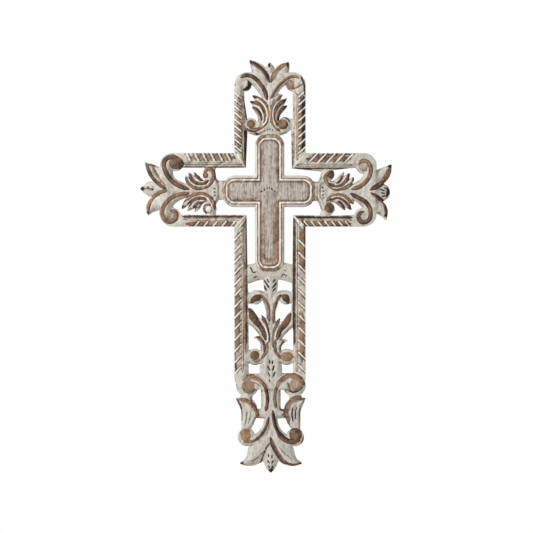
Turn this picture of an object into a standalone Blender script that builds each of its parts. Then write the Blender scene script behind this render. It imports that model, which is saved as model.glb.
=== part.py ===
"""A carved wooden wall cross: one board, pierced right through and carved in relief on its front.

The carving is drawn on a pattern sheet, with x to the right and y downwards, in steps of 1.11 mm.
The sheet is then laid on the board: its main lines go to the sizes below, and the rest follows.
The board stands up along +Z with its flat back on y = 0 and its carved front towards -Y. Its origin
is on the back, behind the crossing.
"""

import math
from dataclasses import dataclass

import bmesh
import bpy
import numpy as np
from mathutils.geometry import delaunay_2d_cdt

MM = 0.001

# The whole board, and the shares of it that lie left of the crossing and above it
WIDTH = 279.2 * MM
HEIGHT = 458.5 * MM
BOARD_THICKNESS = 19.0 * MM
LEFT_SHARE = 0.516
TOP_SHARE = 0.3176

# How far the carving goes down from the board's face, at its crests and in its hollows
GROUND_DEPTH = 6.0 * MM
STRAND_DEPTH = 3.6 * MM
STRAND_CREST_DEPTH = 0.9 * MM
LOBE_CREST_DROP = 0.4 * MM
LEAF_CREST_DROP = 0.8 * MM
STEM_CREST_DROP = 1.2 * MM
LINK_CREST_DROP = 1.5 * MM

# Inner cross
POST_WIDTH = 32.6 * MM
BEAM_WIDTH = 34.6 * MM
CROSS_CORNER_RADIUS = 13.2 * MM
CROSS_CHAMFER_WIDTH = 2.6 * MM
CROSS_CHAMFER_DEPTH = 3.0 * MM
CROSS_GROOVE_INSET = 4.6 * MM
CROSS_GROOVE_WIDTH = 2.2 * MM
CROSS_GROOVE_DEPTH = 2.2 * MM
CROSS_RIM_DEPTH = 0.4 * MM
CROSS_PANEL_DEPTH = 0.8 * MM

# Frame round it
GAP_WIDTH = 9.2 * MM
POST_RAIL_WIDTH = 14.0 * MM
UPPER_RAIL_WIDTH = 16.2 * MM
LOWER_RAIL_WIDTH = 13.0 * MM
RAIL_BEVEL_WIDTH = 3.8 * MM
RAIL_BEVEL_DEPTH = 4.2 * MM
BEAD_WIDTH = 1.9 * MM
BEAD_DEPTH = 1.6 * MM
BEAD_CREST_DEPTH = 0.3 * MM
EDGE_ROUND_WIDTH = 1.4 * MM
EDGE_ROUND_DEPTH = 0.9 * MM
ROPE_CUT_WIDTH = 2.6 * MM
ROPE_CUT_DEPTH = 1.3 * MM

# The saw blade passes through no hole smaller than this
SMALLEST_OPENING = 4.0 * MM

# How far the inner cross runs on past the corners of the frame
STUB_TOP = 21.3 * MM
STUB_LEFT = 13.0 * MM
STUB_RIGHT = 10.4 * MM
STUB_BOTTOM = 49.4 * MM

# The pattern sheet, and its lines that are laid on the sizes above, outwards from the crossing
STEP = 1.11 * MM
CROSSING = (270.0, 191.0)
SHEET_RIGHT = (284.7, 293.0, 305.8, 315.2, 391.5)
SHEET_LEFT = (255.3, 246.5, 234.2, 222.5, 140.8)
SHEET_TOP = (175.5, 168.0, 153.4, 134.3, 60.2)
SHEET_BOTTOM = (206.6, 215.4, 227.0, 271.5, 472.6)
SHEET_MARGIN = 4.0

# Where one form ends beside another its face drops to the ground within this many steps
EDGE_FALL = 1.5
STRAND_MARGIN = 2.0
STRAND_FALL_LIMIT = 1.6
NARROWEST_HALF = 0.2

# Fineness of the work, in steps: the drawing grid, and how closely facets follow the carving
GRID_PITCH = 0.5
CURVE_SPACING = 1.5
OUTLINE_TOLERANCE = 0.1
FACET_TOLERANCE = 0.42
FACET_ROUNDS = 7
POINT_SPACING = 1.9

WOOD_COLOUR = (0.46, 0.40, 0.34, 1.0)
WOOD_ROUGHNESS = 0.85


def steps(size):
    """A real size in steps of the pattern sheet."""
    return size / STEP


def smooth_curve(points, spacing=CURVE_SPACING):
    """Catmull-Rom curve through rows of (x, y, ...), with a row about every `spacing` steps."""
    rows = np.array(points, float)
    if len(rows) == 2:
        pieces = max(2, math.ceil(math.dist(rows[0, :2], rows[1, :2]) / spacing))
        return rows[0] + (rows[1] - rows[0]) * np.linspace(0, 1, pieces + 1)[:, None]
    padded = np.vstack([2 * rows[0] - rows[1], rows, 2 * rows[-1] - rows[-2]])
    curve = []
    for i in range(1, len(padded) - 2):
        before, start, end, after = padded[i - 1 : i + 3]
        pieces = max(2, math.ceil(math.dist(start[:2], end[:2]) / spacing))
        for t in np.arange(pieces) / pieces:
            curve.append(
                0.5 * (2 * start + (end - before) * t
                       + (2 * before - 5 * start + 4 * end - after) * t**2
                       + (3 * start - before - 3 * end + after) * t**3)
            )
    curve.append(rows[-1])
    return np.array(curve)


class Sheet:
    """The pattern sheet as a grid: how far inside the wood each place is, and how deep it is cut."""

    def __init__(self):
        self.xs = np.arange(SHEET_LEFT[-1] - SHEET_MARGIN, SHEET_RIGHT[-1] + SHEET_MARGIN, GRID_PITCH)
        self.ys = np.arange(SHEET_TOP[-1] - SHEET_MARGIN, SHEET_BOTTOM[-1] + SHEET_MARGIN, GRID_PITCH)
        shape = (len(self.ys), len(self.xs))
        self.inside = np.full(shape, -SHEET_MARGIN)
        self.depth = np.full(shape, GROUND_DEPTH)

    def window(self, low, high):
        """Slices and coordinates of the grid between two corners."""
        i0, i1 = np.searchsorted(self.xs, (low[0], high[0]))
        j0, j1 = np.searchsorted(self.ys, (low[1], high[1]))
        return (slice(j0, j1), slice(i0, i1)), *np.meshgrid(self.xs[i0:i1], self.ys[j0:j1])

    def add(self, where, inside, depth):
        """Joins a form to the wood; of two forms the higher one shows."""
        self.inside[where] = np.maximum(self.inside[where], inside)
        self.depth[where] = np.minimum(self.depth[where], depth)

    def cut(self, where, depth):
        """Cuts a groove down from the face as it is."""
        self.depth[where] = self.depth[where] + depth

    def read(self, grid, points):
        """Values of a grid at places on the sheet, between its nodes too."""
        points = np.asarray(points, float)
        u = (points[:, 0] - self.xs[0]) / GRID_PITCH
        v = (points[:, 1] - self.ys[0]) / GRID_PITCH
        i = np.clip(u.astype(int), 0, len(self.xs) - 2)
        j = np.clip(v.astype(int), 0, len(self.ys) - 2)
        u, v = u - i, v - j
        upper = grid[j, i] * (1 - u) + grid[j, i + 1] * u
        lower = grid[j + 1, i] * (1 - u) + grid[j + 1, i + 1] * u
        return upper * (1 - v) + lower * v


def distance_to_line(x, y, start, end):
    """Distance from each place to a straight line between two rows, and the share along it."""
    along = np.subtract(end[:2], start[:2])
    length = max(float(along @ along), 1e-9)
    share = np.clip(((x - start[0]) * along[0] + (y - start[1]) * along[1]) / length, 0, 1)
    return np.hypot(x - start[0] - share * along[0], y - start[1] - share * along[1]), share


def carve_strand(sheet, path, crest=0.0):
    """A rounded strand along a curve of rows (x, y, half width), with its crest that much lower."""
    curve = smooth_curve(path)
    reach = curve[:, 2].max() + STRAND_MARGIN
    where, x, y = sheet.window(curve[:, :2].min(0) - reach, curve[:, :2].max(0) + reach)
    inside = np.full(x.shape, -reach)
    across = np.full(x.shape, np.inf)
    for start, end in zip(curve[:-1], curve[1:]):
        distance, share = distance_to_line(x, y, start, end)
        half = np.maximum(start[2] + (end[2] - start[2]) * share, NARROWEST_HALF)
        inside = np.maximum(inside, half - distance)
        across = np.minimum(across, distance / half)
    fall = STRAND_DEPTH * np.minimum(across, STRAND_FALL_LIMIT) ** 2
    sheet.add(where, inside, STRAND_CREST_DEPTH + crest + fall)


def carve_ball(sheet, centre, radius):
    """A domed eye of a volute."""
    reach = radius + STRAND_MARGIN
    where, x, y = sheet.window(np.subtract(centre, reach), np.add(centre, reach))
    distance = np.hypot(x - centre[0], y - centre[1])
    fall = STRAND_DEPTH * np.minimum(distance / radius, STRAND_FALL_LIMIT) ** 2
    sheet.add(where, radius - distance, STRAND_CREST_DEPTH + fall)


def carve_groove(sheet, path, width, depth):
    """A V-shaped cut of the knife along a curve."""
    curve = smooth_curve(path)
    where, x, y = sheet.window(curve[:, :2].min(0) - width, curve[:, :2].max(0) + width)
    nearest = np.full(x.shape, width)
    for start, end in zip(curve[:-1], curve[1:]):
        nearest = np.minimum(nearest, distance_to_line(x, y, start, end)[0])
    sheet.cut(where, depth * np.clip(1 - nearest / (width / 2), 0, 1))


def depth_in_rounded_box(x, y, left, top, right, bottom, radius):
    """How far each place lies inside a box with round corners."""
    dx = np.abs(x - (left + right) / 2) - (right - left) / 2 + radius
    dy = np.abs(y - (top + bottom) / 2) - (bottom - top) / 2 + radius
    outside = np.hypot(np.maximum(dx, 0), np.maximum(dy, 0))
    return radius - outside - np.minimum(np.maximum(dx, dy), 0)


def depth_in_polygon(x, y, corners):
    """How far each place lies inside a polygon."""
    distance = np.full(x.shape, np.inf)
    inside = np.zeros(x.shape, bool)
    for start, end in zip(corners, corners[1:] + corners[:1]):
        distance = np.minimum(distance, distance_to_line(x, y, start, end)[0])
        if start[1] != end[1]:
            crossing = start[0] + (y - start[1]) * (end[0] - start[0]) / (end[1] - start[1])
            inside ^= ((start[1] > y) != (end[1] > y)) & (x < crossing)
    return np.where(inside, distance, -distance)


# Frame: the outer boxes with their corner radii, and the inner outline, which the carver cut by eye
FRAME_POST = (234.2, 72.6, 305.8, 390.0, 12.5)
FRAME_BEAM = (160.2, 153.9, 376.6, 226.8, 12.5)
FRAME_INNER = [
    (243.8, 83.0), (292.8, 83.0), (293.0, 118.0), (291.5, 130.0), (292.0, 168.8), (321.5, 171.5),
    (355.0, 168.0), (366.0, 168.0), (366.0, 214.8), (335.0, 216.0), (293.0, 215.4), (292.8, 262.0),
    (291.5, 312.0), (293.4, 332.0), (293.4, 373.8), (248.0, 374.5), (248.0, 320.0), (246.8, 262.0),
    (246.0, 215.4), (172.0, 215.0), (172.0, 168.0), (245.3, 168.0), (247.0, 130.0), (246.5, 118.0),
    (243.8, 100.0),
]


def carve_frame(sheet):
    """The cross-shaped frame: a rope band, a bead and an inner bevel on each rail."""
    where, x, y = sheet.window((sheet.xs[0], sheet.ys[0]), (sheet.xs[-1] + 1, sheet.ys[-1] + 1))
    outer = np.maximum(
        depth_in_rounded_box(x, y, *FRAME_POST), depth_in_rounded_box(x, y, *FRAME_BEAM)
    )
    inner = -depth_in_polygon(x, y, FRAME_INNER)
    bevel = steps(RAIL_BEVEL_WIDTH)
    bead = bevel + steps(BEAD_WIDTH)
    bead_rise = steps(BEAD_WIDTH) / 3
    depth = np.maximum(
        np.interp(
            outer, (-EDGE_FALL, 0, steps(EDGE_ROUND_WIDTH)), (GROUND_DEPTH, EDGE_ROUND_DEPTH, 0)
        ),
        np.interp(
            inner,
            (-EDGE_FALL, 0, bevel, bevel + bead_rise, bead - bead_rise, bead, bead + bead_rise),
            (GROUND_DEPTH, RAIL_BEVEL_DEPTH, BEAD_DEPTH, BEAD_CREST_DEPTH, BEAD_CREST_DEPTH, BEAD_DEPTH, 0),
        ),
    )
    sheet.add(where, np.minimum(outer, inner), depth)


@dataclass(frozen=True)
class Rope:
    """Slanting cuts along one rail: from their first and last place, over `run` and `rise` each."""

    first: tuple
    last: tuple
    pitch: float
    run: float
    rise: float

    def cuts(self):
        """Each cut's two ends."""
        count = round(math.dist(self.first, self.last) / self.pitch)
        for i in range(count + 1):
            share = i / count
            x = self.first[0] + (self.last[0] - self.first[0]) * share
            y = self.first[1] + (self.last[1] - self.first[1]) * share
            yield (x, y), (x + self.run, y + self.rise)


ROPES = (
    Rope((234.6, 93.0), (235.8, 147.0), 6.8, 7.5, 6.0),
    Rope((305.2, 91.0), (305.2, 147.0), 8.0, -7.5, 7.0),
    Rope((187.0, 153.8), (235.0, 153.8), 8.3, 4.5, 9.0),
    Rope((195.0, 226.4), (240.0, 226.4), 8.5, 5.5, -7.0),
    Rope((316.0, 154.6), (352.0, 154.6), 8.8, -8.0, 8.5),
    Rope((302.0, 226.8), (350.0, 226.8), 7.2, -6.0, -7.5),
    Rope((234.8, 240.0), (234.8, 373.6), 11.3, 7.5, -8.0),
    Rope((305.4, 247.0), (305.6, 372.0), 12.6, -8.0, -8.0),
)


def carve_ropes(sheet):
    """The rope pattern on the rails."""
    for rope in ROPES:
        for start, end in rope.cuts():
            carve_groove(sheet, (start, end), steps(ROPE_CUT_WIDTH), ROPE_CUT_DEPTH)


# Inner cross: its two bars on the sheet
CROSS_POST = (254.9, 134.3, 284.4, 271.5)
CROSS_BEAM = (222.6, 175.6, 315.2, 206.8)


def carve_inner_cross(sheet):
    """The moulded cross: a chamfer, a shoulder and a groove round a flat panel."""
    where, x, y = sheet.window(
        (CROSS_BEAM[0] - SHEET_MARGIN, CROSS_POST[1] - SHEET_MARGIN),
        (CROSS_BEAM[2] + SHEET_MARGIN, CROSS_POST[3] + SHEET_MARGIN),
    )
    radius = steps(CROSS_CORNER_RADIUS)
    inside = np.maximum(
        depth_in_rounded_box(x, y, *CROSS_POST, radius), depth_in_rounded_box(x, y, *CROSS_BEAM, radius)
    )
    chamfer = steps(CROSS_CHAMFER_WIDTH)
    groove = steps(CROSS_GROOVE_INSET)
    half = steps(CROSS_GROOVE_WIDTH) / 2
    depth = np.interp(
        inside,
        (-EDGE_FALL, 0, chamfer, groove - half, groove, groove + half),
        (GROUND_DEPTH, CROSS_CHAMFER_DEPTH, CROSS_RIM_DEPTH, CROSS_RIM_DEPTH, CROSS_GROOVE_DEPTH,
         CROSS_PANEL_DEPTH),
    )
    sheet.add(where, inside, depth)


# End ornament: half of it, as (sideways, inwards, half width) from the place where the leaves meet
LEAF = ((6, 3, 7), (10, -6, 7.5), (14.5, -12, 5.2), (21, -19, 0.4))
SCROLL = (
    (1.5, 26, 3), (4.5, 15, 4.2), (9.5, 7.5, 4.3), (15, 2, 4.5), (21, -1, 4.8), (27, -0.5, 4.4),
    (31, 4.5, 3.6),
)
LOBES = (
    ((2.5, 48, 2.4), (2, 38, 2.6), (3.5, 30, 2.8), (7.5, 23.5, 2.9), (12, 19.3, 2.6), (16.4, 16.2, 0.7)),
    ((5.5, 48, 2.4), (5.5, 38, 2.6), (8, 31, 3), (12.5, 26, 3.2), (18.8, 22.2, 0.8)),
    ((10.5, 48, 3.4), (9, 41, 2.2), (10.6, 35, 2), (13.8, 31, 2.2), (17.8, 28, 0.8)),
)
VOLUTE_TAIL = ((2.5, 45, 3), (6, 50.5, 3.2), (12, 53, 2.8), (18.5, 51.5, 2.2))
VOLUTE_LINK = ((18, 45, 5.2), (28, 45, 5.2))
AXIS_STEM = ((0, -2, 3), (0, 20, 3.4), (0, 44, 4))
COLLAR = ((0, 46, 9.6), (0, 60, 9.6))

# Places in the ornament that the hand moved a little on each half, and places that stay
ANCHORS = {"leaf": (21, -19), "belly": (14.5, -12), "eye": (25.5, 5), "spur": (17, 15.5),
           "tip": (19.5, 21.5), "lobe": (18.5, 27.5), "volute": (18, 45), "tail": (15, 52.5),
           "inner": (9.5, 7.5)}
FIXED = ((0, 0), (0, 24), (0, 54), (33, 24), (33, 40))


@dataclass(frozen=True)
class Half:
    """One half of an end: its side on the sheet, its moved places and the radii of its volutes."""

    side: tuple
    moved: dict
    eye_radius: float
    volute_radius: float


@dataclass(frozen=True)
class End:
    """The ornament at an end: where its leaves meet, its outward direction, bud and two halves."""

    meeting: tuple
    outward: tuple
    bud: tuple
    halves: tuple

    def place(self, half, rows):
        """Rows (sideways, inwards, half width) of one half as rows on the sheet."""
        rows = np.array(rows, float)
        still = [(place, (0, 0)) for place in FIXED]
        shifts = [(ANCHORS[name], np.subtract(to, ANCHORS[name])) for name, to in half.moved.items()]
        weights = 0
        moves = 0
        for place, shift in still + shifts:
            weight = 1 / (np.hypot(rows[:, 0] - place[0], rows[:, 1] - place[1]) ** 4 + 1e-3)
            weights = weights + weight
            moves = moves + weight[:, None] * np.array(shift)
        local = rows[:, :2] + moves / weights[:, None]
        flat = (
            np.array(self.meeting)
            + local[:, :1] * np.array(half.side)
            - local[:, 1:] * np.array(self.outward)
        )
        return np.column_stack([flat, rows[:, 2:]])


ENDS = (
    End((270.0, 79.0), (0, -1), ((0, 4, 4), (0, -6, 5), (0, -10.4, 4.4), (0, -16.4, 0.3)), (
        Half((-1, 0), {"leaf": (20.7, -18.8), "belly": (14.4, -12), "eye": (25, 5.5), "spur": (17.8, 16.2),
                       "tip": (20.3, 22.3), "lobe": (18.2, 28), "volute": (19.5, 46.5)}, 6.3, 7.0),
        Half((1, 0), {"leaf": (18.8, -16.6), "belly": (14.4, -10.9), "eye": (23, 5), "spur": (12.8, 15),
                      "tip": (16.8, 19.3), "lobe": (17.3, 26.8), "volute": (15.5, 46)}, 7.0, 7.3),
    )),
    End((167.0, 190.0), (-1, 0), (
        (0, 4, 4), (1, -8, 8), (1.2, -14.5, 8), (1.3, -18.5, 6), (1.5, -26, 0.5),
    ), (
        Half((0, -1), {"leaf": (26.8, -21.8), "belly": (20, -15), "eye": (27.5, 8.5), "spur": (15, 18),
                       "tip": (17.5, 21.3), "lobe": (17.7, 27), "volute": (15.5, 42),
                       "tail": (13.5, 46.2), "inner": (8.2, 6)}, 8.6, 6.5),
        Half((0, 1), {"leaf": (25, -18.5), "belly": (17.5, -16), "eye": (26, 3.5), "spur": (19, 14.5),
                      "tip": (21, 20), "lobe": (22, 27.5), "volute": (18.5, 42.5),
                      "tail": (15, 46), "inner": (8.6, 6.6)}, 9.5, 6.8),
    )),
    End((368.0, 191.0), (1, 0), ((0, 4, 4), (-0.5, -8, 8), (-1.2, -13, 9)), (
        Half((0, -1), {"leaf": (26, -23.5), "belly": (18.5, -17.8), "eye": (25.5, 3.5), "spur": (14.2, 13.7),
                       "tip": (17.8, 17.5), "lobe": (19, 23.6), "volute": (16.5, 39.5),
                       "tail": (14, 45.2), "inner": (8.2, 6)}, 8.2, 6.2),
        Half((0, 1), {"leaf": (29, -18.5), "belly": (19.5, -14.5), "eye": (25, 4.5), "spur": (12.8, 13.8),
                      "tip": (18.8, 16.2), "lobe": (19.3, 22.4), "volute": (17.5, 39.7),
                      "tail": (14.6, 45.2), "inner": (8.6, 6.6)}, 8.4, 6.8),
    )),
)


def carve_end(sheet, end):
    """Leaves, scrolls, lobes, volutes, bud and collar of one end."""
    for half in end.halves:
        carve_strand(sheet, end.place(half, LEAF), crest=LEAF_CREST_DROP)
        for path in (SCROLL, *LOBES, VOLUTE_TAIL):
            carve_strand(sheet, end.place(half, path), crest=LOBE_CREST_DROP)
        carve_strand(sheet, end.place(half, VOLUTE_LINK), crest=LINK_CREST_DROP)
        eye = end.place(half, [(*ANCHORS["eye"], half.eye_radius)])[0]
        carve_ball(sheet, eye[:2], eye[2])
        volute = end.place(half, [(*ANCHORS["volute"], half.volute_radius)])[0]
        carve_ball(sheet, volute[:2], volute[2])
    middle = Half(end.halves[0].side, {}, 0, 0)
    for path in (end.bud, AXIS_STEM, COLLAR):
        carve_strand(sheet, end.place(middle, path), crest=STEM_CREST_DROP)


# Foot ornament: half of it, as (sideways from its axis, y on the sheet, half width). Its axis runs a
# little right of the crossing, and its lobes sit lower on the right.
FOOT_SHIFT = 0.8
LOBE_DROPS = {-1: 0.0, 1: 3.2}
FOOT_LOBES = (
    ((21.5, 313, 4.5), (13.8, 322, 3.3), (9.3, 328.6, 3), (6, 335, 2.7), (4.5, 346, 2.4)),
    ((22, 314.5, 3), (26, 319, 6)),
    ((21.5, 320, 4), (15.5, 326, 3.2), (10, 333, 2.6), (7, 340, 2)),
    ((11, 320, 1.6), (7.5, 326, 2.6), (5, 334, 2.6)),
    ((9.2, 315.7, 0.4), (6.5, 320.5, 2.1), (3.8, 328, 2.4), (2.4, 336, 2.4), (2, 350, 2.4)),
    ((16.5, 338, 0.6), (11.5, 338.8, 2.2), (8, 343, 2.8), (7.2, 350, 3.3), (8, 358, 3)),
)
FOOT_STRANDS = (
    ((6, 271, 9), (15, 272.3, 8.8), (24, 274.8, 9.4)),
    ((12, 292.5, 2), (6.5, 296, 3.4), (4.2, 303, 3.3), (2.4, 312, 2.4), (2, 322, 3)),
    ((15, 298, 5.6), (26, 298.8, 5.6)),
    ((15, 357.4, 6.6), (26, 357, 6.6)),
    ((3.8, 352, 4), (5.6, 364, 5.4), (5.6, 378, 5.4)),
    ((1, 384, 4), (6, 380.5, 5), (13, 380, 4.8), (22, 380, 5), (30, 383.6, 4.6)),
    ((22.5, 397.5, 4), (28.5, 397, 2.6)),
    ((5, 385, 5), (5, 400, 5), (5, 412, 5)),
    ((5, 414, 5), (14, 414, 4.2), (18, 414, 4.2)),
    ((34.6, 399, 0.5), (30, 402.5, 3.4), (27, 410, 3.2), (26.6, 419, 3.2), (26.6, 430, 3.2)),
    ((26.5, 399.5, 1.5), (22.5, 406, 3.2), (21.6, 414, 3.4), (22.8, 422, 3.2), (25.5, 430, 3.2)),
    ((21.8, 400, 2.6), (20.6, 403, 2.6), (19.4, 408, 2.4)),
    ((18.5, 401.5, 1), (16.5, 407.5, 2.6), (16.3, 414, 2.8), (18.8, 421, 2.8), (23, 428, 3)),
    ((1.5, 405, 4), (2.6, 420, 4), (5.4, 429, 3.6), (9.5, 435.5, 4), (15, 440, 4.6), (20, 442, 4.6)),
    ((6, 440, 8), (12.5, 451, 10.4), (17.5, 458, 7.4), (23.5, 462.2, 3.8), (30.8, 463.6, 0.5)),
)
FOOT_BALLS = ((15.2, 297.8, 7.2), (16, 357.4, 8), (23.6, 385.4, 11.6), (24.6, 437.6, 8.8))
FOOT_BUD = ((0, 436, 5), (0, 454, 8.5), (0, 464, 6), (0, 472.6, 0.4))
NECK = ((0, 268, 8), (0, 282, 7.4), (0, 292, 6.4))
FOOT_STEM = ((0, 288, 3), (0, 380, 3.2), (0, 440, 3.4))


def carve_foot(sheet):
    """The long ornament below the inner cross, down to the foot."""
    axis = CROSSING[0] + FOOT_SHIFT
    for side, drop in LOBE_DROPS.items():
        lobes = [[(v, y + drop, half) for v, y, half in path] for path in FOOT_LOBES]
        for path in (*FOOT_STRANDS, *lobes):
            placed = [(axis + side * v, y, half) for v, y, half in path]
            carve_strand(sheet, placed, crest=LOBE_CREST_DROP)
        for v, y, radius in FOOT_BALLS:
            carve_ball(sheet, (axis + side * v, y), radius)
    for path in (FOOT_BUD, NECK, FOOT_STEM):
        carve_strand(sheet, [(axis + v, y, half) for v, y, half in path], crest=STEM_CREST_DROP)


# For each set of wood corners of a grid cell (1, 2, 4, 8 round the cell), the sides that the outline
# enters and leaves by, with the wood on one hand throughout
CELL_SIDES = {
    1: ((0, 3),), 2: ((1, 0),), 3: ((1, 3),), 4: ((2, 1),), 5: ((0, 3), (2, 1)), 6: ((2, 0),),
    7: ((2, 3),), 8: ((3, 2),), 9: ((0, 2),), 10: ((1, 0), (3, 2)), 11: ((1, 2),), 12: ((3, 1),),
    13: ((0, 1),), 14: ((3, 0),),
}


def trace_outlines(sheet):
    """Closed outlines of the wood as arrays of places on the sheet."""
    field = np.where(sheet.inside == 0, -1e-6, sheet.inside)
    field[[0, -1], :] = -SHEET_MARGIN
    field[:, [0, -1]] = -SHEET_MARGIN
    wood = (field > 0).astype(int)
    cases = wood[:-1, :-1] + 2 * wood[:-1, 1:] + 4 * wood[1:, 1:] + 8 * wood[1:, :-1]
    following = {}
    for j, i in zip(*np.nonzero((cases > 0) & (cases < 15))):
        sides = ((j, i, 0), (j, i + 1, 1), (j + 1, i, 0), (j, i, 1))
        for enter, leave in CELL_SIDES[int(cases[j, i])]:
            following[sides[enter]] = sides[leave]

    def place(side):
        j, i, upright = side
        first = field[j, i]
        second = field[j + 1, i] if upright else field[j, i + 1]
        share = first / (first - second) * GRID_PITCH
        return sheet.xs[i] + share * (1 - upright), sheet.ys[j] + share * upright

    outlines = []
    while following:
        side = next(iter(following))
        outline = []
        while side in following:
            outline.append(place(side))
            side = following.pop(side)
        outlines.append(np.array(outline))
    return [outline for outline in outlines if np.ptp(outline, axis=0).max() > steps(SMALLEST_OPENING)]


def thin_out(points, tolerance):
    """Indices of the rows that a polyline needs to stay within the tolerance (Douglas-Peucker)."""
    kept = {0, len(points) - 1}
    stack = [(0, len(points) - 1)]
    while stack:
        low, high = stack.pop()
        if high - low < 2:
            continue
        middle = points[low + 1 : high]
        along = points[high] - points[low]
        share = np.clip((middle - points[low]) @ along / max(along @ along, 1e-12), 0, 1)
        miss = np.linalg.norm(middle - points[low] - share[:, None] * along, axis=1)
        worst = int(miss.argmax())
        if miss[worst] > tolerance:
            kept.add(low + 1 + worst)
            stack += [(low, low + 1 + worst), (low + 1 + worst, high)]
    return sorted(kept)


def thin_outline(sheet, outline):
    """An outline with only the points that its plan and its height along the edge need."""
    depth = steps(sheet.read(sheet.depth, outline)) * OUTLINE_TOLERANCE / FACET_TOLERANCE
    rows = np.column_stack([outline, depth])
    far = int(np.linalg.norm(rows - rows[0], axis=1).argmax())
    first = thin_out(rows[: far + 1], OUTLINE_TOLERANCE)
    second = thin_out(np.vstack([rows[far:], rows[:1]]), OUTLINE_TOLERANCE)
    order = first + [far + k for k in second[1:-1]]
    kept = outline[order]
    gaps = np.linalg.norm(np.roll(kept, -1, axis=0) - kept, axis=1)
    return kept[gaps > GRID_PITCH]


def triangles_inside(places, edges):
    """Delaunay triangles of the places that lie within the closed edges."""
    flat = [(float(x), float(y)) for x, y in places]
    points, _, faces, _, _, _ = delaunay_2d_cdt(flat, edges, [], 0, 1e-6)
    if len(points) != len(flat):
        raise ValueError("two outlines cross")
    corners = np.array(faces)
    flat = np.array(flat)
    middle = flat[corners].mean(axis=1)
    odd = np.zeros(len(corners), bool)
    for a, b in edges:
        (x0, y0), (x1, y1) = flat[a], flat[b]
        if y0 != y1:
            crossing = x0 + (middle[:, 1] - y0) * (x1 - x0) / (y1 - y0)
            odd ^= ((y0 > middle[:, 1]) != (y1 > middle[:, 1])) & (middle[:, 0] < crossing)
    return corners[odd]


def worst_places(sheet, places, depths, triangles):
    """In each triangle that misses the carving by more than the tolerance, its worst grid node."""
    worst = []
    for triangle in triangles:
        corners = places[triangle]
        where, x, y = sheet.window(corners.min(0), corners.max(0))
        if x.size == 0:
            continue
        (x0, y0), (x1, y1), (x2, y2) = corners
        area = (x1 - x0) * (y2 - y0) - (x2 - x0) * (y1 - y0)
        if abs(area) < 1e-9:
            continue
        b1 = ((x - x0) * (y2 - y0) - (x2 - x0) * (y - y0)) / area
        b2 = ((x1 - x0) * (y - y0) - (x - x0) * (y1 - y0)) / area
        b0 = 1 - b1 - b2
        d0, d1, d2 = depths[triangle]
        miss = steps(np.abs(sheet.depth[where] - b0 * d0 - b1 * d1 - b2 * d2))
        miss = np.where((b0 > 0) & (b1 > 0) & (b2 > 0) & (sheet.inside[where] > POINT_SPACING / 2), miss, 0)
        k = int(miss.argmax())
        if miss.flat[k] > FACET_TOLERANCE:
            worst.append((miss.flat[k], x.flat[k], y.flat[k]))
    return sorted(worst, reverse=True)


def facet_front(sheet, outline_places, edges):
    """Places and triangles of the front, refined until its facets follow the carving."""
    places = np.array(outline_places)
    triangles = triangles_inside(places, edges)
    for _ in range(FACET_ROUNDS):
        added = []
        depths = sheet.read(sheet.depth, places)
        for _, x, y in worst_places(sheet, places, depths, triangles):
            near = np.vstack([places, added]) if added else places
            if np.hypot(near[:, 0] - x, near[:, 1] - y).min() > POINT_SPACING:
                added.append((x, y))
        if not added:
            break
        places = np.vstack([places, added])
        triangles = triangles_inside(places, edges)
    return places, triangles


def stations(spans, reach):
    """Distances from the crossing to the ends of successive spans, and then to the tip."""
    return [*np.cumsum(spans), reach]


def laid_on(values, middle, low_lines, low_places, high_lines, high_places):
    """Sheet coordinates laid on real ones, in proportion between the sheet's main lines."""
    lines = [*reversed(low_lines), middle, *high_lines]
    places = [*(-p for p in reversed(low_places)), 0.0, *high_places]
    low = places[0] - (places[1] - places[0]) / (lines[1] - lines[0]) * SHEET_MARGIN
    high = places[-1] + (places[-1] - places[-2]) / (lines[-1] - lines[-2]) * SHEET_MARGIN
    return np.interp(
        values, [lines[0] - SHEET_MARGIN, *lines, lines[-1] + SHEET_MARGIN], [low, *places, high]
    )


def lay_on_board(places):
    """Places on the sheet as x and z on the board."""
    across = (POST_WIDTH / 2, GAP_WIDTH, POST_RAIL_WIDTH)
    up = (BEAM_WIDTH / 2, GAP_WIDTH, UPPER_RAIL_WIDTH, STUB_TOP)
    down = (BEAM_WIDTH / 2, GAP_WIDTH, LOWER_RAIL_WIDTH, STUB_BOTTOM)
    x = laid_on(
        places[:, 0], CROSSING[0],
        SHEET_LEFT, stations((*across, STUB_LEFT), WIDTH * LEFT_SHARE),
        SHEET_RIGHT, stations((*across, STUB_RIGHT), WIDTH * (1 - LEFT_SHARE)),
    )
    z = -laid_on(
        places[:, 1], CROSSING[1],
        SHEET_TOP, stations(up, HEIGHT * TOP_SHARE), SHEET_BOTTOM, stations(down, HEIGHT * (1 - TOP_SHARE)),
    )
    return x, z


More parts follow.
